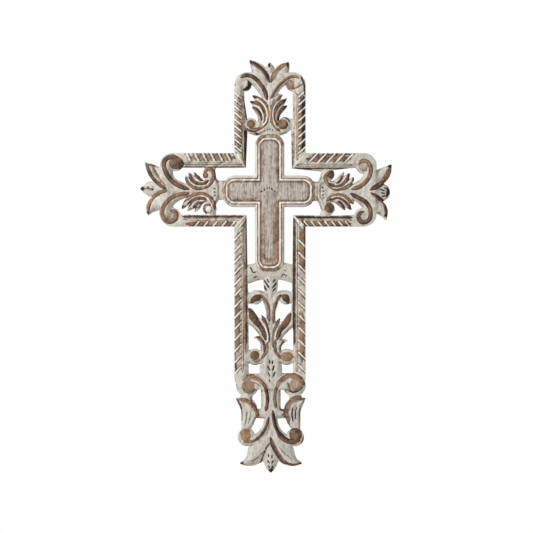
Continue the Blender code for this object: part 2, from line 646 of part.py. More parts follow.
def board_mesh(sheet):
    """The board as one closed mesh: carved front, flat back and sawn sides."""
    outlines = [thin_outline(sheet, outline) for outline in trace_outlines(sheet)]
    edges = []
    rim = []
    for outline in outlines:
        first = len(rim)
        count = len(outline)
        edges += [(first + k, first + (k + 1) % count) for k in range(count)]
        rim += list(outline)
    places, front = facet_front(sheet, rim, edges)
    back = triangles_inside(np.array(rim), edges)
    x, z = lay_on_board(places)
    heights = BOARD_THICKNESS - sheet.read(sheet.depth, places)

    mesh = bmesh.new()
    face = [mesh.verts.new((x[k], -heights[k], z[k])) for k in range(len(places))]
    flat = [mesh.verts.new((x[k], 0.0, z[k])) for k in range(len(rim))]
    for a, b, c in front:
        mesh.faces.new((face[a], face[b], face[c]))
    for a, b, c in back:
        mesh.faces.new((flat[c], flat[b], flat[a]))
    for a, b in edges:
        mesh.faces.new((face[a], face[b], flat[b], flat[a]))
    bmesh.ops.recalc_face_normals(mesh, faces=mesh.faces)
    bmesh.ops.triangulate(mesh, faces=mesh.faces)
    data = bpy.data.meshes.new("carved_cross")
    mesh.to_mesh(data)
    mesh.free()
    return data


def wood():
    """Whitewashed wood, rubbed back to a warm grey."""
    material = bpy.data.materials.new("whitewashed_wood")
    material.use_nodes = True
    shader = material.node_tree.nodes["Principled BSDF"]
    shader.inputs["Base Color"].default_value = WOOD_COLOUR
    shader.inputs["Roughness"].default_value = WOOD_ROUGHNESS
    shader.inputs["Metallic"].default_value = 0.0
    material.diffuse_color = WOOD_COLOUR
    return material


def main():
    for item in list(bpy.data.objects):
        bpy.data.objects.remove(item)
    sheet = Sheet()
    carve_frame(sheet)
    for end in ENDS:
        carve_end(sheet, end)
    carve_foot(sheet)
    carve_inner_cross(sheet)
    carve_ropes(sheet)
    cross = bpy.data.objects.new("carved_cross", board_mesh(sheet))
    cross.data.materials.append(wood())
    group = bpy.data.collections.new("wall_cross")
    bpy.context.scene.collection.children.link(group)
    group.objects.link(cross)


main()
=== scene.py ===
"""The look of a carved, whitewashed wall cross.

The board's outline and its main relief come from the frame. The fine carving is drawn here on a
pattern sheet, with x to the right and y downwards, in steps of 1.11 mm, and so is the bare wood
that shows where the whitewash has been rubbed off the ridges.
"""

import logging
import math
from dataclasses import dataclass, field
from enum import Enum

import bmesh
import bpy
import numpy as np
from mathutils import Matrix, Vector
from mathutils.geometry import delaunay_2d_cdt


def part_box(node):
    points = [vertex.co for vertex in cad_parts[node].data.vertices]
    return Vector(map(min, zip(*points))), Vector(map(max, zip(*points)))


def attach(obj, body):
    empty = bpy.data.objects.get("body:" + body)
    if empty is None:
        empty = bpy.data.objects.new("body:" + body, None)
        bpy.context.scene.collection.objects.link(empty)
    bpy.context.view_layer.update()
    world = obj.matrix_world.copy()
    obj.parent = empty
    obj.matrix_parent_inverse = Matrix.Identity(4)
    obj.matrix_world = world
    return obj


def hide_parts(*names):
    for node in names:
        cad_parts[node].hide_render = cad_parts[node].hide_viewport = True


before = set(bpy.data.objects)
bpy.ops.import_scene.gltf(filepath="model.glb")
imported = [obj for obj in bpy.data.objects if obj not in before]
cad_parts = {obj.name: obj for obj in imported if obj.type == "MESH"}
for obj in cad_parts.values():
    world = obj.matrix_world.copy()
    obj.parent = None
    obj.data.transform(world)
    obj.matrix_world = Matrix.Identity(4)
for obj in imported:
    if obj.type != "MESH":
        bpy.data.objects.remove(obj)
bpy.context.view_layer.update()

logging.basicConfig(level=logging.INFO, format="%(message)s")
log = logging.getLogger("wall_cross")

MM = 0.001
STEP = 1.11 * MM
CROSSING = (270.0, 191.0)
SHEET = 533

# Numbers of a mix node's colour sockets: its two inputs, and its output.
MIX_UNDER, MIX_OVER, MIX_COLOUR = 6, 7, 2

Place = tuple[float, float]
Size = tuple[float, float, float]
Colour = tuple[float, float, float, float]


def linear(code: str) -> Colour:
    """Turns an sRGB colour into the linear one that a shader takes.

    Args:
        code: colour as #rrggbb.

    Returns:
        Linear red, green, blue and an alpha of one.
    """
    values = [int(code[i : i + 2], 16) / 255 for i in (1, 3, 5)]
    return (*(v / 12.92 if v <= 0.04045 else ((v + 0.055) / 1.055) ** 2.4 for v in values), 1.0)


def smooth_curve(points: tuple[Place, ...], spacing: float = 0.8) -> np.ndarray:
    """Draws a Catmull-Rom curve through places on the sheet.

    Args:
        points: the places, in order.
        spacing: greatest distance between rows of the curve, in steps.

    Returns:
        Rows of x and y.
    """
    rows = np.array(points, float)
    padded = np.vstack([2 * rows[0] - rows[1], rows, 2 * rows[-1] - rows[-2]])
    curve = []
    for i in range(1, len(padded) - 2):
        before, start, end, after = padded[i - 1 : i + 3]
        pieces = max(1, math.ceil(math.dist(start, end) / spacing))
        t = (np.arange(pieces) / pieces)[:, None]
        curve.append(
            0.5 * (2 * start + (end - before) * t
                   + (2 * before - 5 * start + 4 * end - after) * t**2
                   + (3 * start - before - 3 * end + after) * t**3)
        )
    return np.vstack([*curve, rows[-1:]])


def blur(grid: np.ndarray, times: int = 1) -> np.ndarray:
    """Averages each node of a grid with its neighbours.

    Args:
        grid: the grid.
        times: how often it is averaged.

    Returns:
        The averaged grid.
    """
    for _ in range(times):
        padded = np.pad(grid, 1, mode="edge")
        rows = (padded[:-2] + 2 * padded[1:-1] + padded[2:]) / 4
        grid = (rows[:, :-2] + 2 * rows[:, 1:-1] + rows[:, 2:]) / 4
    return grid


class Mark(Enum):
    """What a stroke of the tool and the rubbing cloth does.

    Each is (rise in mm, bare wood, dark stain, dark stain along both edges, lime). Where a stroke has a
    shaded side, its stain and its edge line are partly painted shade.
    """

    RIDGE = (0.8, 0.9, 0.18, 0.9, 0.35)
    DARK_RIDGE = (0.8, 1.0, 0.6, 1.1, 0.0)
    BARE = (0.1, 0.75, 0.1, 0.4, 0.2)
    # Lime on bare wood, most in TAN and some in RIDGE and BARE, turns it tan: a painted highlight on the
    # crests.
    TAN = (0.3, 0.8, 0.0, 0.6, 0.55)
    LINE = (0.4, 0.0, 0.0, 0.0, 1.0)
    BEAD = (0.5, 0.0, 0.0, 0.8, 1.0)
    CHIP = (-0.9, 0.6, 1.1, 0.3, 0.0)
    STAIN = (-0.2, 0.8, 1.0, 0.5, 0.0)


class ShadedSide(Enum):
    """Which side of a stroke, seen along it, is darkened with painted shade as well as stain; the other, lit
    side fades to the wash.
    """

    LEFT = -1.0
    BOTH = 0.0
    RIGHT = 1.0


@dataclass(frozen=True)
class Stroke:
    """A mark along a curve on the sheet, with its full width in steps."""

    mark: Mark
    width: float
    path: tuple[Place, ...]
    strength: float = 1.0
    side: ShadedSide = ShadedSide.BOTH


@dataclass(frozen=True)
class Spot:
    """A rubbed ball of a volute: a round place on the sheet."""

    mark: Mark
    radius: float
    centre: Place
    strength: float = 1.0


@dataclass(frozen=True)
class Ornament:
    """The strokes and spots of one part of the carving."""

    name: str
    strokes: tuple[Stroke, ...]
    spots: tuple[Spot, ...] = ()


def cut(mark: Mark, strength: float, *rows: tuple[float, ...], side: ShadedSide = ShadedSide.BOTH) -> list[Stroke]:
    """Lists strokes of one mark.

    Args:
        mark: the mark.
        strength: share of its colour that is used.
        rows: for each stroke its width, then x and y of each place along it.
        side: the side that is darkened with painted shade as well as stain.

    Returns:
        The strokes, in order.
    """
    return [Stroke(mark, row[0], tuple(zip(row[1::2], row[2::2])), strength, side) for row in rows]


RIDGE, DARK, BARE, TAN, LINE, BEAD, CHIP, STAIN = Mark
LEFT, RIGHT = ShadedSide.LEFT, ShadedSide.RIGHT

TOP_END = Ornament("top end", (
    *cut(DARK, 1, (4.4, 250.5, 62, 254.5, 64.2, 260, 68.2, 264.6, 73, 267.4, 77.8, 269.4, 82), side=LEFT),
    *cut(RIDGE, 1, (4.2, 287.6, 63.8, 283, 65.6, 278.6, 69.2, 275, 74, 272.6, 78.4, 271.4, 82), side=RIGHT),
    *cut(STAIN, 1, (1.6, 288.6, 62.6, 288, 65, 287.9, 68)),
    *cut(CHIP, 1, (2.6, 269.5, 61.6, 269.5, 65, 269.6, 68)),
    *cut(DARK, 1, (3.2, 267, 99.6, 265.2, 92.4, 262.2, 86.4, 258, 81, 253.2, 77, 248.6, 75.4, 244.6, 75.6,
         241, 77.5)),
    *cut(RIDGE, 1, (3.0, 270.4, 98.8, 273.2, 92.5, 276.7, 87.3, 280.7, 82.7, 285.3, 78.9, 289.9, 76.4,
         295, 76, 299, 78), side=RIGHT),
    # Darkens the lower right of the top-left volute's ball in a crescent.
    *cut(STAIN, 1, (4.2, 247.6, 80, 249.8, 84.6, 247.6, 88, 243, 89.6)),
    *cut(RIDGE, 0.8, (1.2, 292.3, 89, 297.5, 87, 302.6, 84)),
    *cut(BARE, 0.7, (1.2, 293.6, 77.6, 293.8, 83, 293.4, 88)),
    *cut(STAIN, 0.9, (2.2, 300.8, 76.4, 303.4, 82, 304.9, 89, 305.4, 96)),
    *cut(RIDGE, 1, (2.7, 258.9, 97.6, 262.3, 100.5, 265.8, 104.5, 267.8, 109.7, 268.2, 115, 267.2, 120,
         265, 124.2, 261.7, 127.2, 257.1, 129.4, 252.6, 129.8, 249.7, 128)),
    *cut(DARK, 1, (4.4, 251, 101.3, 254.9, 101.6, 258.9, 103.8, 262.3, 107.6, 264.4, 112.6, 264.8, 117.7,
         263.4, 122.3)),
    *cut(LINE, 1, (1.4, 255, 98.8, 259.4, 100.8, 264, 105.2, 266.4, 110.8, 266.7, 116.6, 264.8, 122.8,
         259.4, 127), (1.4, 253, 105.4, 258.3, 106.6, 261.2, 110.6, 262.9, 116, 262.7, 120.8, 260.4, 124)),
    *cut(DARK, 1, (1.8, 252.3, 106.8, 256, 108.4, 259.2, 111.8, 261.2, 116.2, 261.4, 120)),
    *cut(STAIN, 1, (1.6, 252.6, 95.4, 254.5, 97, 257.5, 97.8)),
    *cut(RIDGE, 1, (2.4, 282.4, 95.6, 279, 98.2, 274.9, 101.9, 272.2, 106.5, 271, 112, 271.3, 117.7,
         273.3, 123.5, 276.7, 128.4, 280.1, 131.4)),
    *cut(DARK, 1, (3.4, 286.2, 99.6, 282.4, 102, 278.4, 106, 275.6, 111, 274.6, 116.6, 275.3, 122,
         277, 125.8), (2.4, 286.6, 106, 283, 108.2, 280.1, 111, 278, 115, 277.5, 119.8)),
    *cut(LINE, 1, (1.3, 282, 98.2, 277, 102.6, 274, 107.4, 272.8, 113, 273, 119, 275, 124.4, 278, 128), (1.3,
         285.4, 103, 281, 106.2, 277.8, 110.4, 276.2, 115.6, 276.2, 121)),
    *cut(STAIN, 1, (1.2, 246.5, 127.6, 250, 131, 256.5, 131.8), (1.4, 277.8, 120.2, 280.8, 117.8, 285, 117.4,
         288.2, 119.6, 289.8, 123), (2.4, 255.2, 132.8, 258.2, 135)),
    *cut(CHIP, 1, (1.3, 267.2, 128.4, 267.7, 131.2), (1.3, 270.8, 128, 269.7, 130.6), (1.2, 273.2, 129,
         272.2, 131.2), (1.0, 264.2, 130.2, 265.4, 132)),
    *cut(BEAD, 0.5, (2.2, 267.6, 84, 268.9, 92, 269.3, 100, 269.6, 112, 269.6, 124)),
), (
    Spot(DARK, 3.8, (250.8, 123.8), 0.75), Spot(DARK, 4.8, (283, 124.2), 0.75),
    Spot(TAN, 4.4, (290, 84.6), 0.9), Spot(STAIN, 1.8, (252.4, 101.6), 0.75),
    Spot(STAIN, 1.8, (285, 100.6), 0.75), Spot(STAIN, 1.4, (282, 96), 0.7),
    Spot(STAIN, 1.6, (286, 106.4), 0.7), Spot(STAIN, 1.6, (250.4, 61.6), 0.8),
    Spot(STAIN, 1.3, (287.8, 63), 0.7),
))

LEFT_END = Ornament("left end", (
    *cut(RIDGE, 0.45, (5.4, 149, 162, 152, 170, 156, 177, 160.6, 182.6, 166, 187.6)),
    *cut(DARK, 1, (2.6, 146.4, 163, 148.6, 170.4, 152, 176.8, 156.5, 182, 161, 186, 166, 189)),
    *cut(BARE, 0.7, (1.4, 152.4, 165, 155.2, 171, 159, 178, 164.4, 184.4)),
    *cut(RIDGE, 1, (3.0, 167, 190.8, 160.5, 192.2, 155, 195.6, 151, 200.4, 148.6, 206, 148, 212)),
    *cut(CHIP, 0.8, (1.6, 144, 188.6, 150, 188.8, 155, 189.2)),
    *cut(CHIP, 1, (1.3, 146, 187, 150, 187.4), (1.2, 151.6, 186.2, 154.2, 187.8), (1.2, 150.8, 190.4,
         153.8, 189.6)),
    *cut(DARK, 1, (3.8, 189, 189.2, 182.5, 187.2, 177, 184.6, 171.5, 180.4, 167, 174.4, 164.4, 168,
         164.2, 162, 167.4, 158.2, 172.5, 156.6, 178, 157.6)),
    *cut(STAIN, 1, (1.6, 181.2, 158.5, 183, 163.5, 181.8, 167, 178.5, 169.8)),
    *cut(RIDGE, 1, (3.0, 185.8, 177.5, 188, 182, 192, 186.2, 197, 188.2, 203, 187.8, 208.5, 185.3, 212.3, 181,
         214, 176, 213, 171.5, 209.6, 169, 205.8, 170.4, 204.4, 174)),
    *cut(DARK, 1, (3.4, 189, 174, 191.3, 178.5, 195.3, 182, 200, 183.6, 205, 182.8, 208.5, 180.4), (1.8,
         194.6, 173.2, 196.8, 176.6, 200, 179.2, 204, 179.8)),
    *cut(LINE, 1, (1.2, 187.2, 175.8, 190, 181.5, 194.5, 184.9, 200, 186.1, 206, 184.8, 210.2, 181), (1.1,
         191.8, 174.5, 195, 179.4, 199.5, 181.6, 204.5, 181.2)),
    *cut(RIDGE, 1, (3.4, 189, 193.2, 182, 193.8, 176.5, 195.2, 171, 198.2, 166.5, 202.5, 163.4, 207.2,
         162.2, 213, 163.5, 218, 167, 221.3, 171.5, 221.8, 175.2, 219.4, 176.6, 215.5, 175, 211.7,
         170.5, 210.3), (3.0, 183.8, 201.6, 187.3, 198.6, 192, 195.8, 197, 194.1, 202, 193.7, 207, 195.2,
         211, 198.6, 213.8, 203.5, 214.6, 209)),
    *cut(DARK, 1, (3.4, 188.2, 207.2, 190.3, 202.8, 194.3, 199.5, 199, 197.8, 203.3, 198.1, 206, 199.5), (1.8,
         194, 209.5, 195.4, 205.6, 198.4, 203, 202, 202.2)),
    *cut(LINE, 1, (1.2, 185.6, 205, 188.6, 201, 193, 197.7, 198, 195.9, 203, 195.9, 208, 198.6, 210.6, 203),
         (1.1, 191.4, 208.8, 193, 204, 197, 200.8, 202, 200.1)),
    *cut(STAIN, 1, (2.0, 181.8, 208.4, 183.6, 205)),
    *cut(CHIP, 1, (1.3, 213, 187.6, 216.4, 189.6), (1.2, 212.6, 192, 216.4, 192), (1.3, 213.2, 196.6,
         216.4, 194.6)),
    *cut(BARE, 1, (1.6, 218.6, 184, 218.2, 191, 218.8, 198.5)),
    *cut(RIDGE, 1, (1.4, 206.4, 213.4, 204, 210.6, 204, 206.6, 207, 204.4, 211, 204.8)),
    *cut(STAIN, 1, (1.2, 147.6, 164.4, 151.6, 165, 155.6, 166.2)),
), (
    Spot(DARK, 6.2, (175.8, 162.8), 0.8), Spot(RIDGE, 2.6, (205.4, 175.2)),
    Spot(BARE, 5.0, (169.8, 216), 0.62), Spot(STAIN, 2.2, (142.4, 188.6)),
    Spot(STAIN, 1.8, (147.4, 213)), Spot(BEAD, 3.4, (208.6, 209.2)),
))

RIGHT_END = Ornament("right end", (
    *cut(RIDGE, 1, (4.4, 390, 167, 388.2, 173, 385.6, 178.4, 382, 182.8, 377, 186.4, 371, 189.8)),
    *cut(DARK, 1, (4.0, 371, 193, 375.6, 196.4, 380, 199.4, 383.6, 203, 385.4, 208.6, 386.2, 216), side=LEFT),
    *cut(DARK, 1, (3.4, 384.4, 180.8, 380.6, 184, 375.6, 187, 370.4, 190)),
    *cut(STAIN, 1, (4.0, 387.4, 186.4, 388.4, 191.4, 386.8, 197)),
    *cut(CHIP, 1, (1.6, 379.8, 189, 385.6, 191), (1.5, 380.6, 192.6, 385.8, 193.4), (1.6, 381.4, 196.6,
         386.4, 195.4), (1.2, 384, 187.2, 387.4, 189.4)),
    *cut(BARE, 0.85, (1.3, 358.6, 164.4, 360.2, 168.6, 364, 170.8, 368.6, 169.2)),
    *cut(RIDGE, 1, (3.3, 352, 189.2, 358.5, 187, 363, 184.4, 367, 180.6, 369.9, 175.4, 371, 169.5, 369.6, 164,
         366, 161, 361.5, 161.4, 359, 164.5), (2.6, 334, 171.2, 329.5, 172.4, 326.2, 175.6, 326.2, 181,
         329.6, 186, 335, 189, 341, 189, 347, 187.2, 352.5, 183.5)),
    *cut(DARK, 1, (3.0, 329.5, 183.3, 333, 185.8, 337.5, 186.6, 342, 184.8, 346, 181, 349.2, 175.5), (1.8,
         336.5, 183.8, 340.2, 180.8, 342.2, 176)),
    *cut(LINE, 1, (1.2, 331.8, 187.4, 337, 188, 342.5, 186.6, 347.2, 183.2, 351.8, 178.6), (1.1, 334.5, 184.6,
         339.5, 183.8, 343.5, 180.5, 345.8, 175.5)),
    *cut(STAIN, 1, (2.0, 354.2, 177.6, 352.6, 181.2), (1.8, 348.8, 172, 348, 176)),
    *cut(DARK, 1, (3.6, 351, 193.4, 355.5, 196.2, 361, 198.9, 366, 202.4, 369.7, 207.5, 370.7, 213,
         369.8, 218.5, 366.3, 221.8, 362.4, 222.2, 359.4, 219.6, 358.6, 216, 360.4, 212.8, 364, 211.6)),
    *cut(RIDGE, 1, (2.8, 326.5, 201, 331, 197.4, 335.5, 195.4, 340.5, 195.1, 345.3, 196.9, 349.3, 200.2,
         352.3, 203.6)),
    *cut(DARK, 1, (3.0, 330, 199.7, 334.5, 197.8, 339, 198.3, 344, 201.2, 348, 205, 351.2, 209), (1.8,
         337.6, 200.6, 341.8, 203.8, 344.6, 209)),
    *cut(LINE, 1, (1.2, 330.5, 198, 336, 196.5, 341, 196.9, 346, 200, 350.4, 204.6), (1.1, 334, 199.6,
         339.6, 200.2, 344, 203.4, 347.8, 208.4)),
    *cut(BARE, 0.7, (2.2, 317.2, 183.4, 317.4, 191, 317.2, 200)),
    *cut(STAIN, 1, (1.0, 320, 184, 320.2, 191, 320, 198.5)),
    *cut(CHIP, 1, (1.3, 321.2, 186.6, 324.6, 188.6), (1.2, 321.2, 191.2, 325.2, 191), (1.3, 321.2, 196,
         324.6, 194)),
), (
    Spot(DARK, 3.4, (331.4, 175)), Spot(DARK, 4.6, (329.6, 207.8), 0.9),
    Spot(BARE, 4.6, (363.8, 165.6), 0.55), Spot(BARE, 4.0, (363.6, 216.6), 0.45),
    Spot(STAIN, 1.8, (390, 166)), Spot(STAIN, 1.7, (386, 215.4)), Spot(STAIN, 1.4, (351.2, 209.4), 0.8),
    Spot(STAIN, 1.4, (352.6, 204), 0.8),
))

LOWER_ARM = Ornament("lower arm", (
    *cut(BARE, 1, (2.2, 258.8, 266.5, 263.6, 269.6, 270, 270.6, 276.4, 269.6, 281, 266.5)),
    *cut(CHIP, 1, (1.4, 250, 266.4, 252, 270, 253.4, 272.6, 257, 271.6)),
    *cut(BARE, 1, (3.0, 253, 278.4, 257.4, 275.4)),
    *cut(CHIP, 1, (1.2, 281, 278.2, 283.4, 274.6, 288.2, 276.6), (1.0, 283.6, 270, 287, 271.4), (1.8,
         263.9, 279.6, 269.6, 288.6), (1.5, 266.6, 278.6, 269.7, 283), (1.8, 262.9, 284.6, 267.2, 291.2),
         (1.5, 275.6, 279, 272.4, 283.2), (1.8, 277.2, 282.2, 271.9, 288.8), (1.6, 276, 287.6, 272.2, 291.8)),
    *cut(RIDGE, 0.85, (2.2, 260.5, 294.6, 264.6, 299, 267.4, 304.4, 268.8, 310, 269.2, 322), (2.2,
         280.6, 295.4, 277.4, 299.5, 275.2, 305, 273.8, 311, 273, 322)),
    *cut(DARK, 1, (5.0, 251.2, 303.4, 253.6, 299.6, 257.4, 297.6, 262, 296.6), (5.0, 280.4, 295.8, 284.6, 297,
         287.2, 300, 288.2, 304), (7.2, 249.4, 309.4, 252.6, 315.4, 257, 321.8, 261, 328.4), (4.2, 256.6, 321,
         261, 327.2, 263.8, 332.6, 265.6, 339.6)),
    *cut(STAIN, 0.16, (4.6, 251, 313, 254.6, 319, 259.6, 325.4, 263.4, 332)),
    *cut(DARK, 1, (7.6, 290.6, 314.4, 286.4, 320.8, 282.4, 326.2, 279, 332.4), (3.6, 282, 327, 279.2, 332.6,
         277, 340)),
    *cut(STAIN, 0.16, (4.6, 288.6, 317.6, 285, 322.6, 281.2, 328)),
    *cut(DARK, 1, (2.8, 261.4, 316.4, 264.6, 320.8, 266.6, 327, 267.9, 334, 268.3, 343)),
    *cut(RIDGE, 1, (2.2, 280.2, 319, 276.6, 325, 274.4, 331, 273.4, 338, 273.2, 347)),
    *cut(LINE, 1, (1.7, 258.6, 317.6, 262.8, 323, 265.9, 329, 267.5, 336, 267.7, 343), (1.7, 282.6, 319.8,
         278.8, 325.6, 275.9, 332, 274.7, 339, 274.4, 346)),
    *cut(DARK, 1, (1.8, 254.8, 336.2, 259, 337.2, 262.3, 340.6, 264.3, 345.5, 264.4, 352)),
    *cut(STAIN, 0.6, (3.0, 285, 340.8, 282.6, 343.6, 281, 348, 280.6, 352)),
    *cut(RIDGE, 1, (2.6, 267, 343, 267, 349, 265, 354, 261.5, 357.6), (2.4, 275.2, 340, 275, 347,
         276.2, 352.6, 279.4, 356.6)),
    *cut(BARE, 0.85, (2.8, 250.8, 360, 256, 361, 261.4, 359, 266, 353.4)),
    *cut(TAN, 1, (7.0, 278.8, 357.4, 284, 356.8, 289, 356.6, 293.4, 356.8)),
    *cut(LINE, 0.5, (0.9, 288.2, 352.8, 288.6, 356.6, 288.2, 360.6)),
    *cut(CHIP, 1, (1.6, 269.9, 359.4, 269.8, 364.6), (1.7, 267.4, 365, 270.2, 371.4), (1.6, 268.2, 372,
         270.2, 377), (1.2, 269.2, 379, 270, 382.4), (1.5, 272.6, 360.4, 272.6, 364.6), (1.7, 274.4, 365,
         272.6, 371.4), (1.7, 275.4, 371.4, 272.8, 377.6)),
    *cut(TAN, 1, (5.0, 242.5, 380.4, 249, 377.8, 255.5, 378.8, 260.6, 382.4), side=LEFT),
    *cut(RIDGE, 1, (4.0, 253.5, 378, 258.4, 379.9, 262.4, 383.6, 265.4, 388.4, 267, 394.6), side=LEFT),
    *cut(DARK, 1, (2.4, 265, 387.4, 267, 394, 267.6, 401, 266.8, 406, 265.8, 411)),
    *cut(STAIN, 0.75, (1.2, 253, 382.4, 257.6, 384, 261, 387)),
    *cut(RIDGE, 0.85, (1.4, 243, 389.4, 246.6, 392.2, 251.6, 392.6, 254.6, 388.6)),
    *cut(RIDGE, 1, (2.4, 276.2, 408, 275, 401, 275, 394, 276.6, 388, 279.6, 382.6)),
    *cut(RIDGE, 1, (5.0, 276.8, 389, 279.4, 383.4, 283.4, 379.2, 289, 376.4, 295.6, 376.6, 301, 380,
         303.6, 384.5), side=LEFT),
    *cut(RIDGE, 0.8, (1.3, 287.6, 382.6, 289.4, 388, 292, 391.8, 296.4, 391.4, 301.4, 388)),
    *cut(STAIN, 1, (1.2, 288, 390.6, 292.5, 392.4, 298, 391, 303, 387)),
    *cut(STAIN, 0.6, (1.0, 245, 376.3, 250, 374.8, 256, 375.3, 261, 377.8, 265.4, 382, 269, 388), (1.0,
         272.4, 383, 277, 378.3, 283, 374.3, 289, 372.8, 296, 374.6, 302, 378.2)),
    *cut(STAIN, 0.7, (1.0, 248, 362, 251.5, 364.2, 256, 364.7, 260.5, 363.6, 264.4, 361), (1.0, 278, 361,
         282, 364.2, 286.4, 364.7, 291, 363.8)),
    *cut(STAIN, 0.6, (1.1, 248.6, 284, 253.6, 281.4, 260, 279.6), (1.1, 278.6, 279.8, 285, 281,
         290.6, 283.6)),
    *cut(STAIN, 0.5, (0.9, 268.7, 322, 270.4, 334, 270.6, 352)),
), (
    Spot(DARK, 3.0, (257.4, 297.8)), Spot(DARK, 3.2, (285.8, 297.8)), Spot(DARK, 4.2, (254.8, 355.4), 0.85),
    Spot(BARE, 1.2, (254.6, 298.6), 0.5), Spot(STAIN, 1.4, (280.4, 318.6), 0.8),
    Spot(STAIN, 1.4, (261, 316.2), 0.8), Spot(TAN, 4.5, (285.8, 357)), Spot(TAN, 4.5, (288.2, 356.8)),
    Spot(TAN, 6.4, (248.2, 386.2), 0.8), Spot(TAN, 6.6, (296.2, 384.4), 0.66),
))

FOOT = Ornament("foot", (
    *cut(RIDGE, 1, (4.4, 239, 399.8, 244, 400.6, 249.4, 403, 253.6, 407.6, 256.4, 413,
         256.8, 419), side=LEFT),
    *cut(DARK, 1, (1.2, 236.4, 399, 240.2, 405, 241.2, 410, 241.4, 421)),
    *cut(CHIP, 0.6, (1.2, 247.2, 412, 246.4, 420, 244.8, 426.6), (1.2, 251, 411, 250, 418, 248, 425)),
    *cut(RIDGE, 1, (5.4, 304.4, 399, 298, 398.6, 292.6, 400.6, 288.4, 405, 286.6, 411, 287, 417,
         289.4, 424), side=RIGHT),
    *cut(CHIP, 1, (1.7, 293.2, 407, 292, 414, 293.2, 422), (1.3, 297, 406.6, 295.6, 413, 295.9, 420)),
    *cut(STAIN, 1, (1.3, 300, 408, 300.3, 417, 302, 425.4), (2.4, 279.6, 407.6, 282.8, 411.4)),
    *cut(STAIN, 0.8, (1.3, 292, 400, 287, 405, 284.8, 411.4, 285.6, 418.6, 288.4, 425)),
    *cut(BARE, 1, (3.6, 260, 414.6, 256.6, 415.6), (3.6, 281.4, 414.4, 284, 415)),
    *cut(RIDGE, 1, (2.0, 244, 441.8, 248.6, 442, 254, 440.8, 259.4, 437)),
    *cut(DARK, 1, (2.0, 255, 440.2, 259.6, 436.8, 263.4, 431.8, 266.6, 425.2, 269, 417.6), (4.4, 299.4, 440.8,
         292, 442, 285.4, 440, 280.4, 435.6, 277, 430.4), (2.6, 280.4, 436, 276.8, 429.6, 274.4, 422.6,
         272.8, 411)),
    *cut(STAIN, 0.7, (1.8, 289, 440, 283, 436.8, 278.4, 431, 275, 423.4, 273, 413)),
    *cut(STAIN, 0.8, (1.4, 290.4, 431, 293.6, 429, 298.4, 428.8)),
    *cut(STAIN, 1, (1.5, 302.6, 430, 304.6, 436, 302.4, 441), (1.6, 269.8, 443, 266.7, 447.4, 264.3, 453,
         262.2, 459, 260, 464.4)),
    *cut(BARE, 1, (1.6, 263.4, 451.6, 259, 456.6, 254.8, 459.6, 249.4, 461.4)),
    *cut(BARE, 0.6, (2.4, 249, 463, 256, 463)),
    *cut(DARK, 1, (4.4, 270.6, 438, 273.2, 445, 276.4, 451, 279.8, 456.6, 283.8, 461.4,
         289, 464), side=RIGHT),
    *cut(DARK, 1, (1.8, 287, 463.8, 294, 465.2, 300, 464)),
    *cut(BARE, 1, (1.3, 279.6, 448, 284.6, 453.4, 289.6, 457.6, 292.4, 462)),
    *cut(CHIP, 1, (1.6, 268.4, 453.6, 268.7, 458), (1.7, 267.2, 460, 269.6, 463.8), (1.5, 268.2, 465.4,
         270.1, 468.6), (1.6, 272.1, 454.6, 272.1, 459.4), (1.7, 273.7, 460, 271.5, 464.2), (1.5,
         273.2, 465.4, 271.5, 469)),
    *cut(STAIN, 0.5, (1.0, 268, 392, 268.3, 408, 268.6, 424, 268.4, 436), (1.0, 274.4, 392, 274.2, 400,
         273.6, 408)),
    *cut(STAIN, 0.35, (1.0, 259.6, 391, 262.6, 398, 263.4, 408), (1.0, 279.6, 391, 278.8, 399, 280.6, 406)),
    *cut(BARE, 0.4, (1.6, 277, 436, 280.5, 443, 286, 448.4)),
    *cut(STAIN, 0.5, (1.0, 242, 443, 248, 445.4, 255, 444.4, 261, 440.6)),
    *cut(STAIN, 0.8, (1.6, 300.6, 429.6, 304, 433.4, 304.2, 438.6, 300.6, 443.6)),
), (
    Spot(TAN, 4.8, (245, 433.6)), Spot(TAN, 4.8, (245.6, 436.4)), Spot(DARK, 6.0, (295.6, 435), 0.9),
    Spot(STAIN, 2.0, (241.6, 463.8)), Spot(STAIN, 2.0, (302, 463.6)), Spot(STAIN, 2.4, (271, 470.8)),
))


